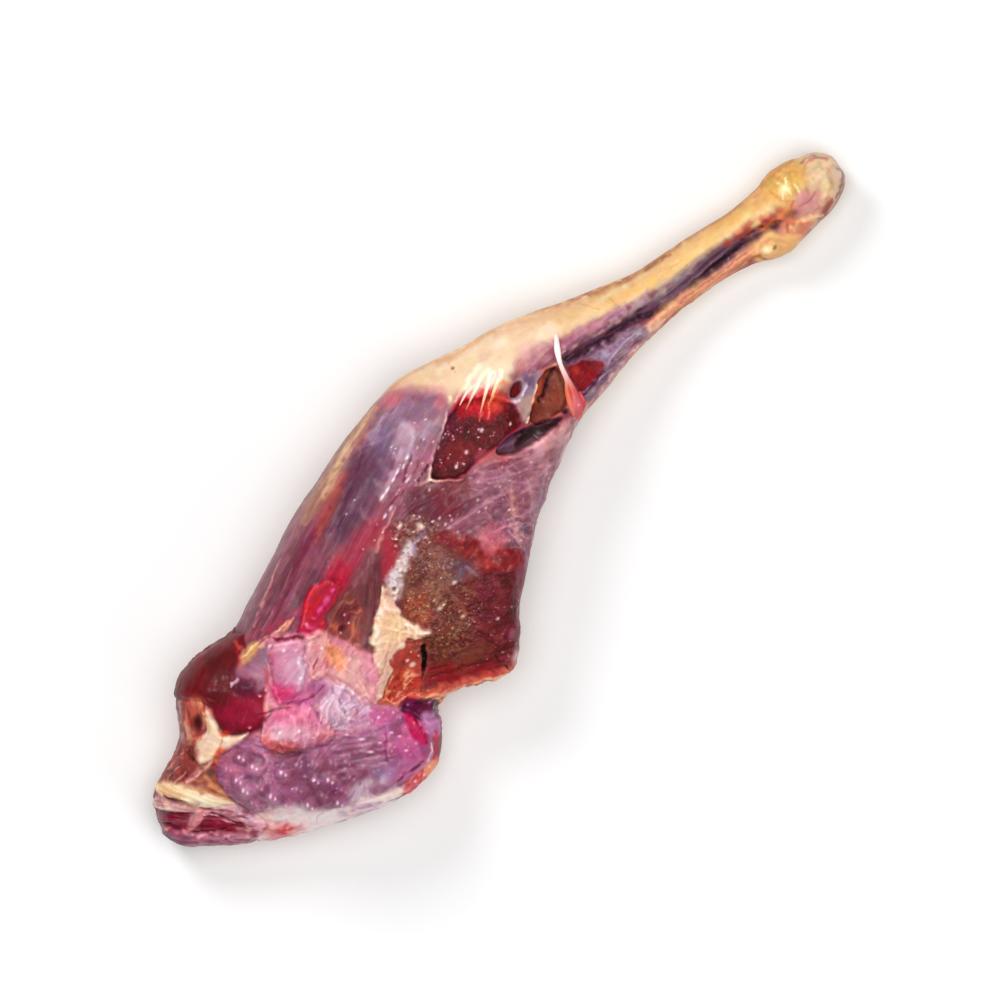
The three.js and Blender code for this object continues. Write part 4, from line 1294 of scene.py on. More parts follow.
for line, half, colour, height in (
    ([(156, 824), (166, 823), (174, 825)], [1, 1.8, 1], (44, 10, 26), -0.9),
    ([(192, 832), (214, 831), (232, 827), (244, 822)], [1, 1.5, 1.3, 0.8], (72, 14, 32), -0.8),
    ([(204, 812), (220, 818), (238, 826)], [1, 1.4, 1], (236, 182, 184), 0.6),
    ([(216, 812), (234, 818), (252, 826)], [0.8, 1.2, 0.8], (176, 96, 116), -0.3),
    ([(160, 830), (168, 828), (176, 832)], [1.4, 2, 1.2], (232, 128, 104), 0.6),
    ([(182, 830), (190, 836), (200, 838)], [1.4, 2, 1.4], (226, 130, 130), 0.5),
    ([(198, 836), (214, 835), (230, 836)], [1.6, 2.2, 1.6], (226, 156, 172), 0.6),
    ([(204, 842), (226, 840), (250, 840)], [1.4, 2, 1.4], (112, 34, 58), -0.4),
    ([(236, 808), (250, 816), (262, 826)], [2, 3, 2], (214, 176, 194), 0.5),
    ([(154, 806), (170, 808), (190, 810)], [0.8, 1.3, 0.8], (250, 214, 200), 0.5),
    ([(232, 838), (248, 836), (264, 838)], [1.6, 2.6, 1.6], (206, 132, 150), 0.3),
    ([(240, 845), (254, 842), (270, 842)], [2, 3, 2], (150, 60, 84), -0.2),
    ([(242, 818), (256, 820), (272, 824)], [2, 3, 2], (214, 164, 178), 0.3),
    ([(254, 830), (262, 834), (268, 840)], [3, 4, 3], (158, 56, 76), -0.2),
    ([(152, 812), (172, 813), (190, 814)], [0.8, 1.2, 0.8], (80, 12, 32), -0.6),
):
    stroke(line, half, colour, 0.85, height)
blot(168, 839, 7, (66, 34, 62), 0.85, 1.5, -20)
blot(188, 836, 6, (120, 76, 100), 0.7, 1.6, -10)
blot(257, 836, 8, (146, 52, 76), 0.85, 1.1, 0)
raise_by(hip_zone * streaks(-20, 26, 5, 133, hip_zone), 0.5)
finish_as(layers, 0.8, 0.2, 0)
for x, y in ((166, 830), (218, 835), (240, 812)):
    blot(x, y, 1.5, (240, 200, 208), 0.6, 1.6, 0, 0.3)
tell("open layers", layers)

# %% [markdown]
# Between the knob and the loin lie soft pink folds of membrane and fat. The one on the left is
# stretched and glossy. Each fold is puffed up with an uneven crease round it.

# %% Pink folds
FOLDS = (
    ("base", [(270, 640), (300, 632), (340, 638), (372, 654), (376, 700), (404, 708), (392, 724),
              (330, 742), (268, 750), (256, 732), (270, 712)], (216, 132, 152), 1.0, 10, 0.1),
    ("peach", [(330, 654), (350, 654), (366, 672), (372, 700), (356, 696), (340, 682), (328, 670)],
     (212, 150, 146), 0.9, 8, 0.15),
    ("salmon", [(304, 638), (318, 630), (330, 636), (334, 656), (328, 676), (314, 680), (306, 664)],
     (228, 160, 154), 1.2, 9, 0.3),
    ("film", [(318, 682), (342, 680), (360, 696), (378, 712), (366, 726), (334, 730), (318, 714)],
     (204, 160, 186), 1.0, 12, 0.15),
    ("roll", [(262, 722), (276, 708), (304, 704), (324, 712), (334, 730), (320, 746), (280, 750),
              (264, 740)], (216, 128, 150), 2.4, 16, 0.4),
    ("left fold", [(275, 644), (290, 638), (306, 640), (308, 658), (304, 678), (294, 696), (284, 700),
                   (276, 684), (272, 662)], (204, 132, 160), 2.4, 18, 0.25),
)
fold_weight = {}
for number, (name, outline, colour, height, roll, crease) in enumerate(FOLDS):
    fold_weight[name] = pillow(outline, height, roll, crease, 3.0, 3.2, seed=number * 3, soft=4.5)
    paint(fold_weight[name], colour, 0.93)
folds = area(FOLDS[0][1], 6)
finish_as(folds, 0.88, 0.3, 0)
mottle(folds, 8, [(236, 164, 172), (196, 104, 136)], 0.42, 141, 0.35)
# A painted highlight on the left fold, and a brighter streak of it on its right side.
patch([(286, 654), (302, 650), (305, 670), (299, 684), (288, 680), (282, 668)], (220, 164, 192), 11, 0.85)
stroke([(300, 656), (303, 668), (300, 680)], [2, 4, 2], (240, 222, 234), 0.6, 0.2, 2, -0.4)
patch([(275, 680), (288, 682), (298, 689), (292, 700), (282, 702), (275, 692)], (214, 58, 108), 7, 0.9)
# The pale stroke down the fold's right is a painted highlight, and the dark line along its top is painted
# shade in the crease.
strokes(
    ([(274, 650), (274, 668), (278, 684)], [2, 3, 3], (206, 84, 124), 0.7),
    ([(290, 644), (300, 642), (306, 650)], [2, 3, 2], (196, 118, 148), 0.6),
    ([(303, 656), (304, 672), (298, 688)], [1.6, 2.6, 1.6], (232, 204, 220), 0.6, 0.2),
    ([(276, 644), (290, 641), (304, 641)], 1.4, (226, 160, 184), 0.8, 0.4),
    ([(272, 638), (290, 637), (306, 636)], [2, 2.4, 1.6], (118, 12, 34), 0.9, -1.2),
)
patch([(286, 700), (302, 688), (318, 680), (326, 686), (318, 700), (300, 706)], (178, 72, 126), 5, 0.85)
patch([(310, 684), (322, 678), (328, 690), (318, 698)], (150, 84, 122), 4, 0.7)
# Painted shade in the crease above the roll.
stroke([(262, 714), (276, 708), (290, 706), (304, 700), (318, 692), (326, 684)],
       [0.8, 1.5, 1.8, 1.8, 1.4, 0.8], (116, 30, 62), 0.8, -0.8)
stroke([(268, 708), (284, 702), (298, 696)], [1.6, 2.4, 1.6], (214, 92, 140), 0.7, 0.4)
fibres(area([(306, 640), (330, 636), (332, 660), (324, 676), (310, 672)], 4), 62, (242, 176, 176),
       (200, 92, 112), 0.5, 20, 3.4, 142, 0.35)
strokes(
    ([(312, 640), (309, 654), (312, 668)], [1, 1.6, 1], (240, 184, 188), 0.7, 0.5),
    ([(318, 656), (316, 664), (314, 672)], [1, 1.6, 1], (150, 40, 60), 0.75, -0.6),
    ([(326, 640), (330, 652), (328, 664)], [1, 1.4, 1], (196, 88, 100), 0.6, -0.4),
    ([(308, 634), (320, 630), (332, 636)], [2, 3, 2], (232, 128, 134), 0.7, 0.6),
)
patch([(330, 646), (340, 648), (344, 662), (342, 672), (332, 664)], (232, 144, 100), 4, 0.85)
fibres(fold_weight["peach"], 45, (232, 188, 178), (202, 128, 128), 0.35, 26, 6, 143, 0.4)
strokes(
    ([(356, 684), (364, 692), (370, 702)], [2, 3, 2], (240, 206, 156), 0.7, 0.4),
    ([(344, 664), (356, 674), (366, 690)], [1, 1.5, 1], (246, 216, 204), 0.65, 0.5),
    ([(318, 676), (330, 674), (346, 682), (360, 694)], [1, 1.6, 1.4, 1], (222, 110, 130), 0.6, -0.4),
)
crumple(fold_weight["film"], 13, (230, 208, 226), (162, 116, 152), 0.45, 0.6, 50, 1.8, 144)
for line, colour in (
    ([(332, 686), (340, 700), (346, 716)], (138, 92, 134)),
    ([(346, 688), (354, 700), (358, 714)], (146, 96, 138)),
    ([(320, 702), (318, 714), (324, 726)], (134, 78, 120)),
    ([(326, 728), (344, 722), (358, 714)], (150, 96, 134)),
    ([(338, 684), (352, 690), (362, 702)], (240, 226, 238)),
    ([(336, 704), (344, 714), (356, 718)], (236, 216, 232)),
    ([(362, 718), (376, 712), (388, 706)], (236, 188, 214)),
):
    stroke(line, [1.2, 2.2, 1.2], colour, 0.5, 0.3 if sum(colour) > 500 else -0.4)
patches(
    ([(278, 722), (298, 720), (316, 728), (310, 740), (290, 742), (272, 734)], (230, 174, 190), 9, 0.75),
    ([(344, 656), (356, 656), (368, 674), (371, 698), (358, 698), (346, 680)], (224, 168, 162), 8, 0.6),
    ([(329, 645), (342, 647), (346, 660), (338, 668), (330, 662)], (232, 142, 94), 5, 0.6),
    ([(264, 734), (278, 738), (298, 744), (292, 754), (270, 750)], (222, 86, 72), 6, 0.9),
    ([(320, 724), (332, 728), (332, 742), (320, 744)], (218, 130, 130), 5, 0.7),
    ([(272, 712), (292, 708), (312, 710), (310, 720), (284, 722)], (222, 100, 138), 5, 0.65),
)
crumple(fold_weight["roll"], 12, (238, 188, 200), (200, 100, 132), 0.32, 0.5, 80, 1.8, 146)
crumple(folds, 22, (234, 178, 190), (184, 88, 124), 0.2, 0.4, 30, 1.4, 147)
# Painted shade under the roll.
stroke([(266, 750), (290, 753), (318, 748), (334, 738)], [1, 1.8, 1.8, 1.2], (112, 46, 74), 0.7, -0.8)
patch([(372, 708), (390, 706), (402, 714), (392, 726), (374, 726)], (204, 98, 148), 6, 0.8)
glints(folds, 20, 25, (1.0, 2.2), (1.0, 2.6), 40, (246, 218, 228), 0.35)
# Painted highlights on the wet folds.
for x, y in ((299, 660), (301, 676), (392, 712), (378, 716), (286, 648), (322, 646), (300, 728), (282, 730)):
    blot(x, y, 2.0, (255, 240, 246), 0.75, 1.4, 60, 0.4)
tell("pink folds", folds)

# %% [markdown]
# The lower lobe is a purple muscle in a tight membrane that is full of small blisters, each with
# a painted highlight and a ring of painted shade. To the right it is drawn into parallel ridges.

# %% Loin lobe
LOIN = [
    (216, 768), (228, 750), (246, 738), (262, 736), (268, 748), (284, 754), (306, 748), (330, 738),
    (360, 730), (388, 722), (404, 708), (424, 722), (434, 742), (430, 760), (408, 780), (392, 790),
    (366, 796), (348, 806), (318, 812), (300, 806), (276, 806), (258, 812), (240, 802), (226, 790),
]
loin = pillow(LOIN, 1.6, 14, 0.45, 3.0, 2.0, seed=21)
paint(loin, (158, 92, 122))
finish_as(loin, 0.95, 0.25, 0)
patches(
    ([(280, 752), (356, 744), (372, 770), (340, 796), (290, 790), (270, 770)], (132, 68, 92), 16, 0.8),
    ([(230, 758), (262, 742), (280, 770), (270, 800), (244, 796)], (194, 122, 156), 14, 0.7),
    ([(384, 722), (404, 710), (430, 728), (428, 756), (404, 776), (382, 764)], (208, 106, 154), 11, 0.9),
    ([(392, 752), (412, 744), (426, 752), (410, 770), (394, 774)], (182, 84, 134), 8, 0.7),
    ([(370, 762), (390, 758), (394, 772), (378, 780)], (146, 122, 172), 6, 0.75),
    ([(350, 786), (366, 776), (384, 774), (386, 786), (366, 800), (346, 806)], (210, 188, 200), 6, 0.85),
    ([(222, 756), (240, 746), (248, 762), (232, 774)], (186, 90, 116), 6, 0.6),
    ([(296, 752), (340, 744), (384, 746), (386, 764), (344, 776), (300, 768)], (124, 64, 90), 10, 0.6),
)
mottle(loin, 9, [(178, 114, 146), (116, 60, 88)], 0.5, 151, 0.3)
crumple(area(LOIN[:8] + LOIN[15:], 8), 16, (180, 118, 148), (116, 60, 88), 0.2, 0.5, 20, 1.2, 152)
tell("lobe", loin)

# %% Blisters
BLISTERS = (
    (244, 757, 9), (257, 766, 9), (285, 772, 9), (241, 779, 8), (248, 788, 9), (275, 793, 9),
    (317, 779, 9), (331, 779, 9), (311, 802, 8), (340, 800, 8), (270, 779, 9), (300, 788, 8),
    (262, 785, 8), (300, 764, 9), (231, 768, 8), (352, 776, 8), (290, 802, 8), (325, 793, 8),
    (272, 760, 8), (344, 788, 8), (256, 800, 8), (316, 762, 8), (334, 762, 7), (348, 762, 7),
)
# Each blister gets a ring of painted shade in the groove round it and two painted highlights.
for number, (x, y, size) in enumerate(BLISTERS):
    strong = 1.0 if number < 10 else 0.4
    size *= 0.85 + 0.05 * (number * 7 % 10)
    edge = spot(x, y, size * 1.4, 1.2, number * 50) - spot(x, y, size)
    paint(np.clip(edge, 0, 1), (112, 60, 88), 0.35 * strong)
    blot(x, y, size, (176, 118, 148), 0.4 * strong, 1.15, number * 50, 1.8 * strong)
    for dx, dy, r in ((-2.2, -1.6, 2.0), (2.2, 0.8, 1.5)):
        blot(x + dx, y + dy, r, (248, 230, 240), 0.85 * strong, 1.5, 80, 0.3 * strong)
ridge_part = area([(330, 734), (384, 722), (396, 764), (338, 764)], 6)
# The pale lines along the ridges are partly painted highlight, and the dark lines between are painted shade.
for y0, tilt in ((728, -7), (735, -6), (742, -4), (749, -3), (756, -1), (763, 1)):
    stroke([(338, y0 + 7), (362, y0 + 2), (388, y0 + tilt)], [1.2, 2.6, 1.2], (192, 134, 166), 0.35, 0.4,
           1.4, 0.15)
    stroke([(338, y0 + 10.5), (362, y0 + 5.5), (388, y0 + 3 + tilt)], [0.8, 1.8, 0.8], (126, 72, 104),
           0.28, -0.2, 1.4, 0.15)
fibres(ridge_part, 8, (196, 140, 170), (122, 70, 100), 0.3, 26, 3, 154, 0.3)
# Painted highlights on the ridges and the lobe's right end.
for x, y, length in (
    (362, 738, 3), (371, 751, 3), (405, 750, 2), (398, 736, 2), (347, 733, 2), (380, 742, 2),
    (390, 732, 1.6),
):
    blot(x, y, 1.8, (244, 212, 232), 0.75, length, 5, 0.5)
glints(area([(388, 724), (404, 714), (428, 730), (426, 756), (402, 776), (388, 766)], 4), 10, 27,
       (1, 1.8), (1, 2.2), 20, (226, 150, 190), 0.3)
glints(loin, 30, 28, (0.8, 1.6), (1.0, 2.0), 20, (200, 150, 178), 0.3)
stroke([(384, 726), (386, 742), (388, 760)], [1, 1.6, 1], (146, 56, 110), 0.5, -0.5)
stroke([(340, 800), (352, 792), (360, 780)], [1, 1.5, 1], (128, 88, 124), 0.6, -0.4)

# %% Pocket
POCKET = [(400, 700), (420, 697), (440, 699), (443, 712), (430, 720), (412, 714), (402, 710)]
# The pocket is a recess: dark red-purple tissue, darkened further with painted shade.
pocket = patch(POCKET, (98, 36, 66), 2.5, height=-1.6)
mottle(pocket, 4, [(128, 58, 92), (44, 12, 34)], 0.6, 155, 0.4)
finish_as(pocket, 1.0, 0, 0)
patch([(424, 714), (436, 712), (441, 724), (436, 736), (426, 730)], (180, 124, 168), 3, 0.9, 2, 1.2)
patch([(404, 712), (416, 716), (426, 732), (422, 744), (410, 734)], (184, 22, 74), 3, 0.88)
stroke([(412, 714), (422, 728), (426, 742)], [1.4, 2, 1.4], (96, 8, 40), 0.75, -0.5)
# Painted highlights in the pocket.
for x, y in ((430, 702), (436, 708), (408, 704), (415, 743)):
    blot(x, y, 1.5, (220, 184, 210), 0.6, 1.5, 30, 0.3)
tell("pocket", pocket)

# %% [markdown]
# Under the lobe a thin rim of fat and belly wall shows along the lower edge, pale pink to white
# with red ends.

# %% Lower rim
RIM_FAT = [
    (258, 814), (276, 806), (300, 806), (318, 813), (348, 806), (366, 797), (392, 790), (408, 782),
    (412, 800), (380, 816), (340, 834), (290, 848), (268, 852), (260, 840), (268, 828), (254, 820),
]
rim_fat = patch(RIM_FAT, (252, 222, 222), 4, wobble=3.5)
mottle(rim_fat, 7, [(255, 240, 232), (228, 180, 192)], 0.5, 161, 0.4)
fibres(rim_fat, 16, (255, 240, 236), (222, 170, 186), 0.35, 26, 3.4, 162, 0.2)
finish_as(rim_fat, 0.7, 0.2, 0.1)
patch([(282, 808), (302, 802), (334, 812), (350, 808), (340, 822), (304, 826), (280, 818)],
      (252, 230, 228), 6, 0.85)
stroke([(311, 820), (312, 814), (320, 809)], [1, 2, 1.2], (238, 196, 160), 0.7, 0.5, 1.4)
stroke([(316, 822), (318, 816), (324, 812)], 1, (206, 146, 150), 0.4, -0.3)
patch([(262, 826), (280, 820), (298, 826), (294, 838), (272, 840)], (222, 122, 124), 5, 0.85, 4)
patch([(272, 830), (284, 823), (294, 827), (286, 834)], (208, 44, 54), 3, 0.85, 3)
mottle(area([(252, 816), (300, 812), (300, 846), (252, 850)], 5), 5, [(214, 140, 150), (244, 206, 196)],
       0.5, 164, 0.4)
strokes(
    ([(288, 840), (320, 832), (346, 822), (376, 812)], [2.4, 3, 4, 3], (170, 116, 156), 0.75),
    ([(340, 814), (360, 808), (380, 803)], [3, 4, 3], (172, 122, 166), 0.7, 0, 1.4),
    ([(376, 800), (392, 794), (404, 788)], [2, 4, 3], (244, 218, 200), 0.75, 0.4),
    ([(296, 836), (322, 830), (342, 822)], 1.1, (152, 70, 104), 0.6, -0.4, 1, 0.3),
)
patch([(402, 786), (412, 774), (424, 766), (438, 756), (442, 772), (432, 786), (412, 798)], (214, 70, 84),
      3, 0.95)
mottle(area([(402, 786), (424, 766), (438, 756), (442, 772), (412, 798)], 3), 4, [(240, 156, 118),
                                                                                  (184, 30, 60)], 0.6,
       163, 0.5)
patch([(422, 768), (434, 758), (439, 772), (428, 778)], (238, 156, 106), 3, 0.85)
for x, y in ((415, 780), (424, 774), (430, 766)):
    blot(x, y, 2.0, (248, 208, 204), 0.85, 1.4, 40, 0.5)
strokes(
    ([(398, 778), (412, 768), (424, 758)], [1.4, 2.2, 1.4], (92, 34, 62), 0.85, -0.9),
    ([(434, 730), (436, 746), (434, 758)], [2.4, 3.4, 2.4], (206, 40, 66)),
    ([(426, 762), (430, 752), (429, 742)], [1, 1.5, 1], (244, 206, 222), 0.75, 0.4),
)
tell("rim fat", rim_fat)
print("relief from", round(float(lift.min()), 1), "to", round(float(lift.max()), 1), "mm")

# %% [markdown]
# Two passes go over everything at the end. Meat is never one colour, so each part of red, green and
# blue drifts a little on its own. Then the relief, less its own average nearby, darkens the colour
# in hollows and lightens it on ridges: painted shade and painted light that follow the relief.

# %% Uneven colour and shaded relief
DRIFT = (0.09, 0.14, 0.11)
AVERAGING_PASSES = 12
CAVITY_SHADE = 0.28
depth_of_colour = (1.0 - tint.mean(1)).clip(0.05, 0.7)
for channel, strength in enumerate(DRIFT):
    clouds = lumps(3.2, 201 + channel) + 0.7 * lumps(8, 211 + channel)
    tint[:, channel] *= 1 + strength * depth_of_colour * clouds
edges = read(skin.data.edges, "vertices", 2, np.int32)
neighbours = np.bincount(edges.ravel(), minlength=point_count)
around = lift.copy()
for _ in range(AVERAGING_PASSES):
    total = np.bincount(edges[:, 0], around[edges[:, 1]], point_count)
    total += np.bincount(edges[:, 1], around[edges[:, 0]], point_count)
    around = 0.5 * around + 0.5 * total / np.maximum(neighbours, 1)
stand = np.clip(lift - around, -1, 1)
# Painted shade in the hollows and painted light on the ridges.
tint *= (1 + CAVITY_SHADE * stand)[:, None]
print("the mean colour is", (tint.mean(0) * 255).round().astype(int).tolist())

# %% Press the relief into the skin
MOST_RELIEF = 7.0
RESTING_BELOW = 0.3  # points of the skin below this height stay on the table
LOWEST = 0.02
lift = np.clip(lift, -MOST_RELIEF, MOST_RELIEF)
moved = points + normals * lift[:, None]
resting = points[:, 2] < RESTING_BELOW
moved[:, 2] = np.where(resting, points[:, 2].clip(0), moved[:, 2].clip(LOWEST))
skin.data.vertices.foreach_set("co", (moved / 1000).astype(np.float32).ravel())
skin.data.update()
print(int(resting.sum()), "points rest on the table")

# %% Write the paint onto the points
SHEEN_SHARE = 0.02  # the shine of a wet surface adds this much white, so the paint is mixed deeper
PAINT_GAIN = 1.02


def to_linear(screen):
    """Amounts of light for colours given in screen values."""
    return np.where(screen <= 0.04045, screen / 12.92, ((screen.clip(0, 1) + 0.055) / 1.055) ** 2.4)


def write(mesh, name, kind, values, entry):
    mesh.attributes.new(name, kind, "POINT").data.foreach_set(entry, values.astype(np.float32).ravel())


linear = (to_linear(tint) * PAINT_GAIN - SHEEN_SHARE * wet[:, None]).clip(0.004, 0.92)
along, across = np.zeros(point_count), np.zeros(point_count)
for angle in np.unique(fibre_angle):
    some = fibre_angle == angle
    along[some], across[some] = along_and_across(angle, px[some], py[some])
POINT_DATA = (
    ("tint", "FLOAT_COLOR", np.c_[linear, everywhere], "color"),
    ("finish", "FLOAT_VECTOR", np.c_[wet, film, grain], "vector"),
    ("fibre", "FLOAT_VECTOR", np.c_[along, across, moved[:, 2]], "vector"),
)
for row in POINT_DATA:
    write(skin.data, *row)
print("each point carries", [row[0] for row in POINT_DATA])

# %% [markdown]
# One material serves the whole skin. The painted colour is broken up by fine noise, less so on pale
# fat and skin. Roughness falls where the meat is wet, silverskin adds bright fibres along its own
# direction, and dried flesh adds grain in the bump. A thin coat that is finely uneven gives the
# sharp glints of moisture.

# %% Node helpers


class Nodes:
    """Adds and joins the nodes of one tree."""

    def __init__(self, tree):
        self.tree = tree

    def add(self, kind, inputs=None, **settings):
        node = self.tree.nodes.new(kind)
        for key, value in settings.items():
            setattr(node, key, value)
        for key, value in (inputs or {}).items():
            if isinstance(value, bpy.types.NodeSocket):
                self.tree.links.new(value, node.inputs[key])
            else:
                node.inputs[key].default_value = value
        return node

    def math(self, operation, a, b):
        return self.add("ShaderNodeMath", {0: a, 1: b}, operation=operation).outputs[0]

    def remap(self, value, low, high, to_low, to_high):
        inputs = {0: value, 1: low, 2: high, 3: to_low, 4: to_high}
        return self.add("ShaderNodeMapRange", inputs).outputs[0]


class Finish(Nodes):
    """The nodes of one new material."""

    def __init__(self, name):
        self.material = bpy.data.materials.new(name)
        self.material.use_nodes = True
        super().__init__(self.material.node_tree)
        self.tree.nodes.clear()

    def painted(self, name, output):
        return self.add("ShaderNodeAttribute", attribute_name=name).outputs[output]

    def noise(self, coordinates, scale, detail=3.0, roughness=0.55):
        inputs = {"Vector": coordinates, "Scale": scale, "Detail": detail, "Roughness": roughness}
        return self.add("ShaderNodeTexNoise", inputs).outputs["Fac"]

    def mix(self, share, a, b, blend="MIX"):
        inputs = {0: share, 6: a, 7: b}
        return self.add("ShaderNodeMix", inputs, data_type="RGBA", blend_type=blend).outputs[2]

    def bump(self, strength, distance, height, normal=None):
        inputs = {"Strength": strength, "Distance": distance, "Height": height}
        if normal is not None:
            inputs["Normal"] = normal
        return self.add("ShaderNodeBump", inputs).outputs[0]

    def done(self, inputs):
        shader = self.add("ShaderNodeBsdfPrincipled", inputs)
        self.add("ShaderNodeOutputMaterial", {"Surface": shader.outputs[0]})
        print(self.material.name, "has", len(self.tree.nodes), "nodes")
        return self.material


# %% Meat material
FINE, CLOUDY, RIPPLED = 700, 170, 330  # lumps of noise in a metre
FIBRE_SCALE = (0.045, 0.62, 0.25)  # along, across and up, in pixels and mm
SILVERSKIN = (0.62, 0.46, 0.53, 1)


def meat_material():
    n = Finish("raw meat")
    place = n.add("ShaderNodeTexCoord").outputs["Object"]
    tint = n.painted("tint", "Color")
    finish = n.painted("finish", "Vector")
    wetness, filmy, grainy = n.add("ShaderNodeSeparateXYZ", {0: finish}).outputs
    fibre_inputs = {"Vector": n.painted("fibre", "Vector"), "Scale": FIBRE_SCALE}
    fibre = n.noise(n.add("ShaderNodeMapping", fibre_inputs).outputs[0], 1.0, 3, 0.6)
    fine = n.noise(place, FINE, 3)
    cloud = n.noise(place, CLOUDY, 3)
    beads = n.add("ShaderNodeTexVoronoi", {"Vector": place, "Scale": FINE}).outputs["Distance"]
    shade = n.math("MULTIPLY", n.remap(fine, 0.3, 0.7, 0.93, 1.07), n.remap(cloud, 0.3, 0.7, 0.90, 1.10))
    shade = n.math("MULTIPLY", shade, n.remap(fibre, 0.3, 0.7, 0.92, 1.08))
    calm = n.remap(n.add("ShaderNodeRGBToBW", {0: tint}).outputs[0], 0.12, 0.55, 1.0, 0.35)
    shade = n.math("ADD", n.math("MULTIPLY", n.math("SUBTRACT", shade, 1.0), calm), 1.0)
    grey = n.add("ShaderNodeCombineColor", {0: shade, 1: shade, 2: shade}).outputs[0]
    varied = n.mix(1.0, tint, grey, "MULTIPLY")
    fibre_share = n.math("MULTIPLY", n.remap(fibre, 0.55, 0.75, 0.0, 0.3), filmy)
    uneven = n.math("MULTIPLY", n.math("SUBTRACT", cloud, 0.5), 0.2)
    small = n.bump(n.math("MULTIPLY", calm, 0.22), 0.0004, fine)
    line_strength = n.math("MULTIPLY", calm, n.remap(filmy, 0, 0.5, 0.15, 0.4))
    lines = n.bump(line_strength, 0.0004, fibre, small)
    grains = n.bump(n.math("MULTIPLY", grainy, 0.8), 0.0007, beads, lines)
    return n.done(
        {
            "Base Color": n.mix(fibre_share, varied, SILVERSKIN),
            "Roughness": n.math("SUBTRACT", n.remap(wetness, 0, 1, 0.7, 0.42), uneven),
            "Normal": grains,
            "Coat Weight": n.remap(wetness, 0.3, 1.0, 0.04, 0.5),
            "Coat Roughness": 0.13,
            "Coat Normal": n.bump(0.5, 0.0006, n.noise(place, RIPPLED, 2, 0.5), grains),
            "Specular IOR Level": 0.18,
        }
    )


meat = meat_material()

# %% [markdown]
# One mesh of this size would be thinned when it is saved as STL, so the skin is cut across the leg
# into four pieces, as a butcher would. Each is closed by a cut face inside the meat, and keeps the
# whole skin's normals, so that no seam shows in the shading.

# %% Cut the skin into pieces
PIECE_NAMES = ("hip_cut", "ham_cut", "knee_cut", "shank_cut")
skin.data.calc_loop_triangles()
triangles = read(skin.data.loop_triangles, "vertices", 3, np.int32)
smooth_normals = read(skin.data.vertex_normals, "vector", 3)


def boundary_edges(faces):
    """The directed edges of the faces that no other face shares."""
    directed = np.concatenate([faces[:, (0, 1)], faces[:, (1, 2)], faces[:, (2, 0)]])
    keys = {tuple(edge) for edge in directed.tolist()}
    return sorted(edge for edge in keys if (edge[1], edge[0]) not in keys)


def cut_piece(name, faces):
    """A closed piece of the skin. A fan of faces closes each of its open ends."""
    used, faces = np.unique(faces, return_inverse=True)
    faces = faces.reshape(-1, 3)
    rows = [moved[used] / 1000]
    looks = [[values[used]] for _, _, values, _ in POINT_DATA]
    facing = [smooth_normals[used]]
    new_faces = [faces]
    middle = points[used, 0].mean()
    ends = {}
    for a, b in boundary_edges(faces):
        ends.setdefault(bool(moved[used[a], 0] > middle), []).append((a, b))
    for towards_hock, ring in sorted(ends.items()):
        ring = np.array(ring)
        hub = len(used) + len(new_faces) - 1
        rows.append(rows[0][np.unique(ring)].mean(0)[None])
        for values in looks:
            values.append(values[0][ring[0, :1]])
        facing.append(np.array([[1.0 if towards_hock else -1.0, 0.0, 0.0]]))
        new_faces.append(np.c_[ring[:, 1], ring[:, 0], np.full(len(ring), hub)])
    mesh = bpy.data.meshes.new(name)
    mesh.from_pydata(np.concatenate(rows).tolist(), [], np.concatenate(new_faces).tolist())
    for (key, kind, _, entry), values in zip(POINT_DATA, looks):
        write(mesh, key, kind, np.concatenate(values), entry)
    mesh.shade_smooth()
    mesh.normals_split_custom_set_from_vertices(np.concatenate(facing).tolist())
    mesh.materials.append(meat)
    piece = add_object(name, mesh)
    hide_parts("leg")
    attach(piece, "root")
    print(name, "has", len(mesh.polygons), "triangles")


middle_x = points[triangles, 0].mean(1)
cuts = np.quantile(middle_x, np.arange(1, len(PIECE_NAMES)) / len(PIECE_NAMES))
group = np.digitize(middle_x, cuts)
for number, name in enumerate(PIECE_NAMES):
    cut_piece(name, triangles[group == number])

# %% [markdown]
# A strand of sinew hangs loose across the hollow behind the knee, and short threads of fat run down
# into the red window. Each is a sweep along its own line. Geometry Nodes make them all at once: the
# lines are edges of a plain mesh that carries a half width and a colour at each point.

# %% Strand lines
STRANDS = (  # a line, its half widths and colours, and how far it stands off the meat in mm
    ([(556, 334), (557, 350), (560, 364), (566, 378), (572, 392), (576, 405), (578, 418)],
     [1.8, 3.4, 2.2, 2.8, 5.0, 7.4, 4.0],
     [(236, 206, 206), (250, 244, 242), (246, 232, 228), (236, 170, 160), (206, 84, 78), (206, 92, 104),
      (200, 96, 90)], 1.6),
    ([(566, 380), (567, 392), (570, 404), (574, 416)], [1.0, 2.6, 3.0, 1.6],
     [(240, 190, 170), (222, 96, 62), (224, 112, 84), (206, 110, 92)], 2.4),
    ([(579, 392), (583, 402), (582, 412)], [1.4, 2.6, 1.4],
     [(206, 70, 76), (212, 60, 76), (190, 80, 80)], 2.2),
    ([(491, 374), (488, 386), (484, 400), (480, 416)], [2.8, 2.2, 1.3, 0.4],
     [(255, 246, 228), (255, 246, 226), (246, 196, 150), (206, 84, 62)], 0.2),
    ([(499, 380), (494, 392), (490, 404)], [2.2, 1.8, 0.5],
     [(255, 244, 222), (248, 206, 150), (216, 96, 50)], 0.2),
    ([(481, 380), (476, 390), (470, 402), (466, 411)], [2.6, 2.0, 1.0, 0.4],
     [(255, 246, 230), (252, 236, 212), (240, 176, 140), (200, 70, 60)], 0.2),
    ([(472, 388), (466, 395), (460, 406)], [2.0, 1.3, 0.5],
     [(255, 244, 230), (248, 226, 202), (236, 190, 160)], 0.2),
)
SUNK = 0.3  # how deep a strand's middle lies in the meat where it touches, in mm
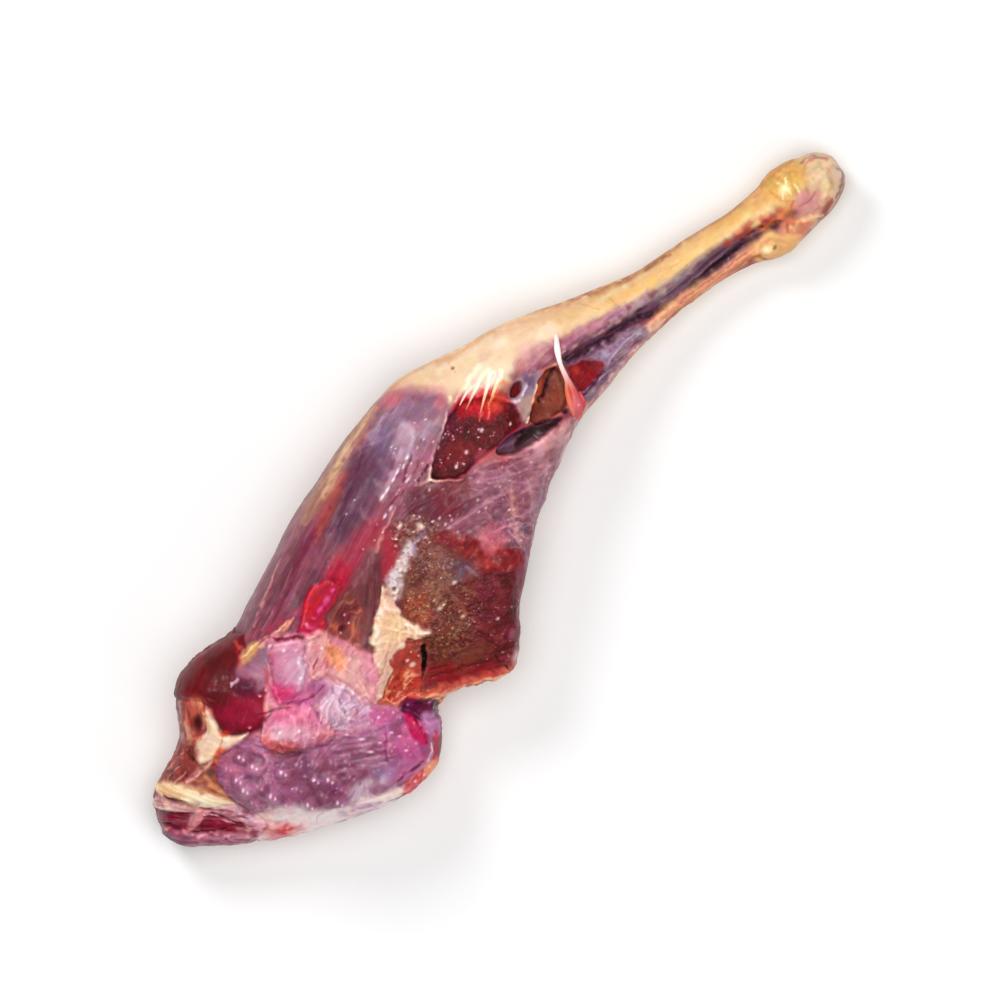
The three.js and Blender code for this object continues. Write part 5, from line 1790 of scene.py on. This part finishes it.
STRAND_FINISH = (0.85, 0.25, 0.0)  # wet, filmy, grainy


def surface_height(x, y):
    """Height of the skin under a pixel of the photograph, in mm."""
    close = (np.abs(px - x) < 1.6) & (np.abs(py - y) < 1.6) & (shown > 0.3)
    return float(moved[close, 2].max())


def strand_mesh():
    rows, links, widths, colours = [], [], [], []
    for line, half_widths, tones, clearance in STRANDS:
        path = smooth_line(line, pieces=6)
        steps = np.linspace(0, 1, len(path))
        ground = np.array([surface_height(x, y) for x, y in path])
        bridge = ground[0] + (ground[-1] - ground[0]) * steps + clearance * np.sin(math.pi * steps)
        start = len(rows)
        height = np.maximum(bridge, ground + SUNK) - SUNK
        rows += np.c_[(*to_leg(path[:, 0], path[:, 1]), height)].tolist()
        links += [(start + i, start + i + 1) for i in range(len(path) - 1)]
        knots = np.linspace(0, 1, len(half_widths))
        widths += (np.interp(steps, knots, half_widths) * MM_PER_PIXEL).tolist()
        colours += np.c_[[np.interp(steps, knots, part) for part in zip(*tones)]].T.tolist()
    mesh = bpy.data.meshes.new("strand lines")
    mesh.from_pydata((np.array(rows) / 1000).tolist(), links, [])
    ones = np.ones(len(rows))
    write(mesh, "tint", "FLOAT_COLOR", np.c_[to_linear(np.array(colours) / 255), ones], "color")
    write(mesh, "finish", "FLOAT_VECTOR", np.outer(ones, STRAND_FINISH), "vector")
    write(mesh, "half_width", "FLOAT", np.array(widths) / 1000, "value")
    return mesh


# %% [markdown]
# A small helper builds node trees. Every tree has named inputs, which the modifier sets by the
# socket's identifier, and its last nodes realise the instances, make them smooth and set the material.

# %% Geometry node trees


class Tree(Nodes):
    """A Geometry Nodes tree with named inputs."""

    def __init__(self, name, inputs):
        super().__init__(bpy.data.node_groups.new(name, "GeometryNodeTree"))
        sockets = self.tree.interface
        for direction in ("INPUT", "OUTPUT"):
            sockets.new_socket("Geometry", in_out=direction, socket_type="NodeSocketGeometry")
        self.names = {
            key: sockets.new_socket(key, in_out="INPUT", socket_type="NodeSocket" + kind).identifier
            for key, kind in inputs.items()
        }
        self.inputs = self.tree.nodes.new("NodeGroupInput").outputs

    def attribute(self, name):
        node = self.add("GeometryNodeInputNamedAttribute", {"Name": name}, data_type="FLOAT")
        return node.outputs["Attribute"]

    def end(self, geometry):
        real = self.add("GeometryNodeRealizeInstances", {"Geometry": geometry}).outputs[0]
        real = self.add("GeometryNodeSetShadeSmooth", {"Geometry": real}).outputs[0]
        look = {"Geometry": real, "Material": self.inputs["Material"]}
        real = self.add("GeometryNodeSetMaterial", look).outputs[0]
        self.tree.links.new(real, self.tree.nodes.new("NodeGroupOutput").inputs[0])

    def made_on(self, host, name, values, attributes=()):
        """A plain object with what the tree makes of the host, which stays as it was."""
        modifier = host.modifiers.new(name, "NODES")
        modifier.node_group = self.tree
        for key, value in values.items():
            modifier[self.names[key]] = value
        for key, attribute in attributes:
            modifier[self.names[key] + "_use_attribute"] = True
            modifier[self.names[key] + "_attribute_name"] = attribute
        piece = plain_copy(host, name)
        host.modifiers.remove(modifier)
        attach(piece, "root")
        print(name, "has", len(piece.data.polygons), "faces")


sweep = Tree("sweep along lines", {"Flatness": "Float", "Sides": "Int", "Material": "Material"})
half_width = sweep.attribute("half_width")
lines = sweep.add("GeometryNodeMeshToCurve", {"Mesh": sweep.inputs["Geometry"]}).outputs[0]
lines = sweep.add("GeometryNodeSetCurveNormal", {"Curve": lines}, mode="Z_UP").outputs[0]
lines = sweep.add("GeometryNodeSetCurveRadius", {"Curve": lines, "Radius": half_width}).outputs[0]
ring_inputs = {"Resolution": sweep.inputs["Sides"], "Radius": 1.0}
ring = sweep.add("GeometryNodeCurvePrimitiveCircle", ring_inputs).outputs[0]
flat = sweep.add("ShaderNodeCombineXYZ", {0: 1.0, 1: sweep.inputs["Flatness"], 2: 1.0}).outputs[0]
ring = sweep.add("GeometryNodeTransform", {"Geometry": ring, "Scale": flat}).outputs[0]
tube_inputs = {"Curve": lines, "Profile Curve": ring, "Fill Caps": True}
tube = sweep.add("GeometryNodeCurveToMesh", tube_inputs)
if "Scale" in tube.inputs:
    sweep.tree.links.new(half_width, tube.inputs["Scale"])
sweep.end(tube.outputs[0])

# %% Loose strand and threads
line_host = add_object("strand lines", strand_mesh())
sweep.made_on(line_host, "sinew_strands", {"Flatness": 0.5, "Sides": 12, "Material": meat})
bpy.data.objects.remove(line_host)

# %% [markdown]
# Beads of juice stand on the wet meat in the window, and grains of fat lie on the seam and on the
# rough part of the flap. They are small, so they are scattered by chance over the points' own share,
# turned to the surface and half sunk into it.

# %% Bead materials


def bead_material(name, light, share, roughness, coat):
    n = Finish(name)
    place = n.add("ShaderNodeTexCoord").outputs["Object"]
    spots = n.remap(n.noise(place, 420, 2), 0.35, 0.7, 0.0, share)
    return n.done(
        {
            "Base Color": n.mix(spots, n.painted("tint", "Color"), (*light, 1)),
            "Roughness": roughness,
            "Normal": n.bump(0.2, 0.0002, n.noise(place, 1500, 2)),
            "Coat Weight": coat,
            "Coat Roughness": 0.05,
        }
    )


juice = bead_material("meat juice", (0.4, 0.1, 0.12), 0.4, 0.2, 0.35)
fat_grain = bead_material("fat grains", (0.56, 0.4, 0.28), 0.6, 0.4, 0.2)

# %% Scatter tree
CROWD = "Beads per square metre"
SCATTER_INPUTS = {key: "Float" for key in ("Share", CROWD, "Smallest", "Largest", "Height")}
scatter = Tree("scatter on the skin", {**SCATTER_INPUTS, "Seed": "Int", "Material": "Material"})
given = scatter.inputs
share = scatter.math("MULTIPLY", given["Share"], given[CROWD])
dot_inputs = {"Mesh": given["Geometry"], "Density": share, "Seed": given["Seed"]}
dots = scatter.add("GeometryNodeDistributePointsOnFaces", dot_inputs, distribute_method="RANDOM")
bead = scatter.add("GeometryNodeMeshIcoSphere", {"Radius": 1.0, "Subdivisions": 2}).outputs[0]
size_inputs = {2: given["Smallest"], 3: given["Largest"], "Seed": given["Seed"]}
size = scatter.add("FunctionNodeRandomValue", size_inputs, data_type="FLOAT").outputs[1]
flat_size = scatter.math("MULTIPLY", size, given["Height"])
scale = scatter.add("ShaderNodeCombineXYZ", {0: size, 1: size, 2: flat_size}).outputs[0]
bead_inputs = {"Instance": bead, "Scale": scale}
bead_inputs.update({key: dots.outputs[key] for key in ("Points", "Rotation")})
scatter.end(scatter.add("GeometryNodeInstanceOnPoints", bead_inputs).outputs[0])

# %% Juice and fat grains
MOST_BEADS = 200000.0  # for each square metre
BEAD_HEIGHT = 0.7  # of its width
crowding = fade(lumps(4, 171), -0.3, 0.5)
juice_share = np.clip(inner + 0.15 * red_cut + 0.15 * speck_zone, 0, 1) * crowding
flap_share = 0.55 * rough_part * fade(py, 650, 610)
grain_share = np.clip(0.7 * speck_zone + flap_share + 0.1 * seam_fat, 0, 1) * crowding
for name, share, seed, smallest, largest, material in (
    ("juice_beads", juice_share, 3, 0.0003, 0.0007, juice),
    ("fat_grains", grain_share, 5, 0.00025, 0.0006, fat_grain),
):
    write(skin.data, "share", "FLOAT", share * (shown > 0.8), "value")
    values = {CROWD: MOST_BEADS, "Smallest": smallest, "Largest": largest, "Height": BEAD_HEIGHT}
    values.update({"Seed": seed, "Material": material})
    scatter.made_on(skin, name, values, [("Share", "share")])
    skin.data.attributes.remove(skin.data.attributes["share"])
bpy.data.objects.remove(skin)

# %% [markdown]
# The table is a plain pale plane. Large soft lamps give the even light of the photograph, and a few
# small ones put the glints on the wet parts.

# %% Table
FLOOR_HALF = 4.0
corners = [(FLOOR_HALF * x, FLOOR_HALF * y, 0) for x, y in ((-1, -1), (1, -1), (1, 1), (-1, 1))]
floor_mesh = bpy.data.meshes.new("table")
floor_mesh.from_pydata(corners, [], [(0, 1, 2, 3)])
floor = add_object("table", floor_mesh)
pale = Finish("pale table").done({"Base Color": (0.92, 0.92, 0.92, 1), "Roughness": 0.7})
floor_mesh.materials.append(pale)

# %% Light
PHOTO_RIGHT = Vector((COS, -SIN, 0))
PHOTO_UP = Vector((SIN, COS, 0))
GLINT_LAMPS = ((-0.5, 0.35, 1.2), (0.45, 0.4, 1.3), (-0.1, 0.7, 1.2), (0.7, -0.1, 1.2), (-0.6, -0.3, 1.2))
SKY_ABOVE, SKY_ROUND = 0.12, 0.45


def lamp(name, right, up, height, size, watts, glossy=True, diffuse=True):
    """A round lamp aimed at the leg. One without glossy light gives no shine, and one without
    diffuse light gives only shine."""
    light = bpy.data.lights.new(name, "AREA")
    light.shape = "DISK"
    light.size = size
    light.energy = watts
    obj = add_object(name, light)
    obj.location = PHOTO_RIGHT * right + PHOTO_UP * up + Vector((0, 0, height))
    obj.rotation_euler = (-obj.location).to_track_quat("-Z", "Y").to_euler()
    obj.visible_glossy, obj.visible_diffuse = glossy, diffuse


lamp("overhead", 0.1, -0.1, 2.2, 2.4, 44, glossy=False)
lamp("key", -1.0, 1.1, 1.2, 0.8, 18, glossy=False)
lamp("fill", 1.1, -0.8, 1.0, 1.2, 8, glossy=False)
for number, place in enumerate(GLINT_LAMPS):
    lamp(f"glint {number}", *place, 0.09, 2.4, diffuse=False)
world = bpy.data.worlds.new("room")
world.use_nodes = True
sky = Nodes(world.node_tree)
direction = sky.add("ShaderNodeTexCoord").outputs["Generated"]
upward = sky.add("ShaderNodeSeparateXYZ", {0: direction}).outputs["Z"]
strength = sky.remap(upward, 0.55, 0.95, SKY_ROUND, SKY_ABOVE)
sky.tree.links.new(strength, sky.tree.nodes["Background"].inputs["Strength"])
bpy.context.scene.world = world
bpy.context.scene.view_settings.view_transform = "Standard"
print("the room has", 3 + len(GLINT_LAMPS), "lamps")

# %% Camera
CAMERA_HEIGHT = 5.0
VIEW_LEVEL = 0.03  # the height at which the picture's side measures what the photograph's does
SENSOR = 36
camera_data = bpy.data.cameras.new("camera")
camera_data.sensor_width = SENSOR
camera_data.lens = SENSOR * (CAMERA_HEIGHT - VIEW_LEVEL) / (PHOTO_SIDE * MM_PER_PIXEL / 1000)
camera = add_object("camera", camera_data)
centre_x, centre_y = to_leg(PHOTO_SIDE / 2, PHOTO_SIDE / 2)
camera.location = (centre_x / 1000, centre_y / 1000, CAMERA_HEIGHT)
camera.rotation_euler = (0, 0, -LEG_ANGLE)
bpy.context.scene.camera = camera
print("the lens is", round(camera_data.lens, 1), "mm")
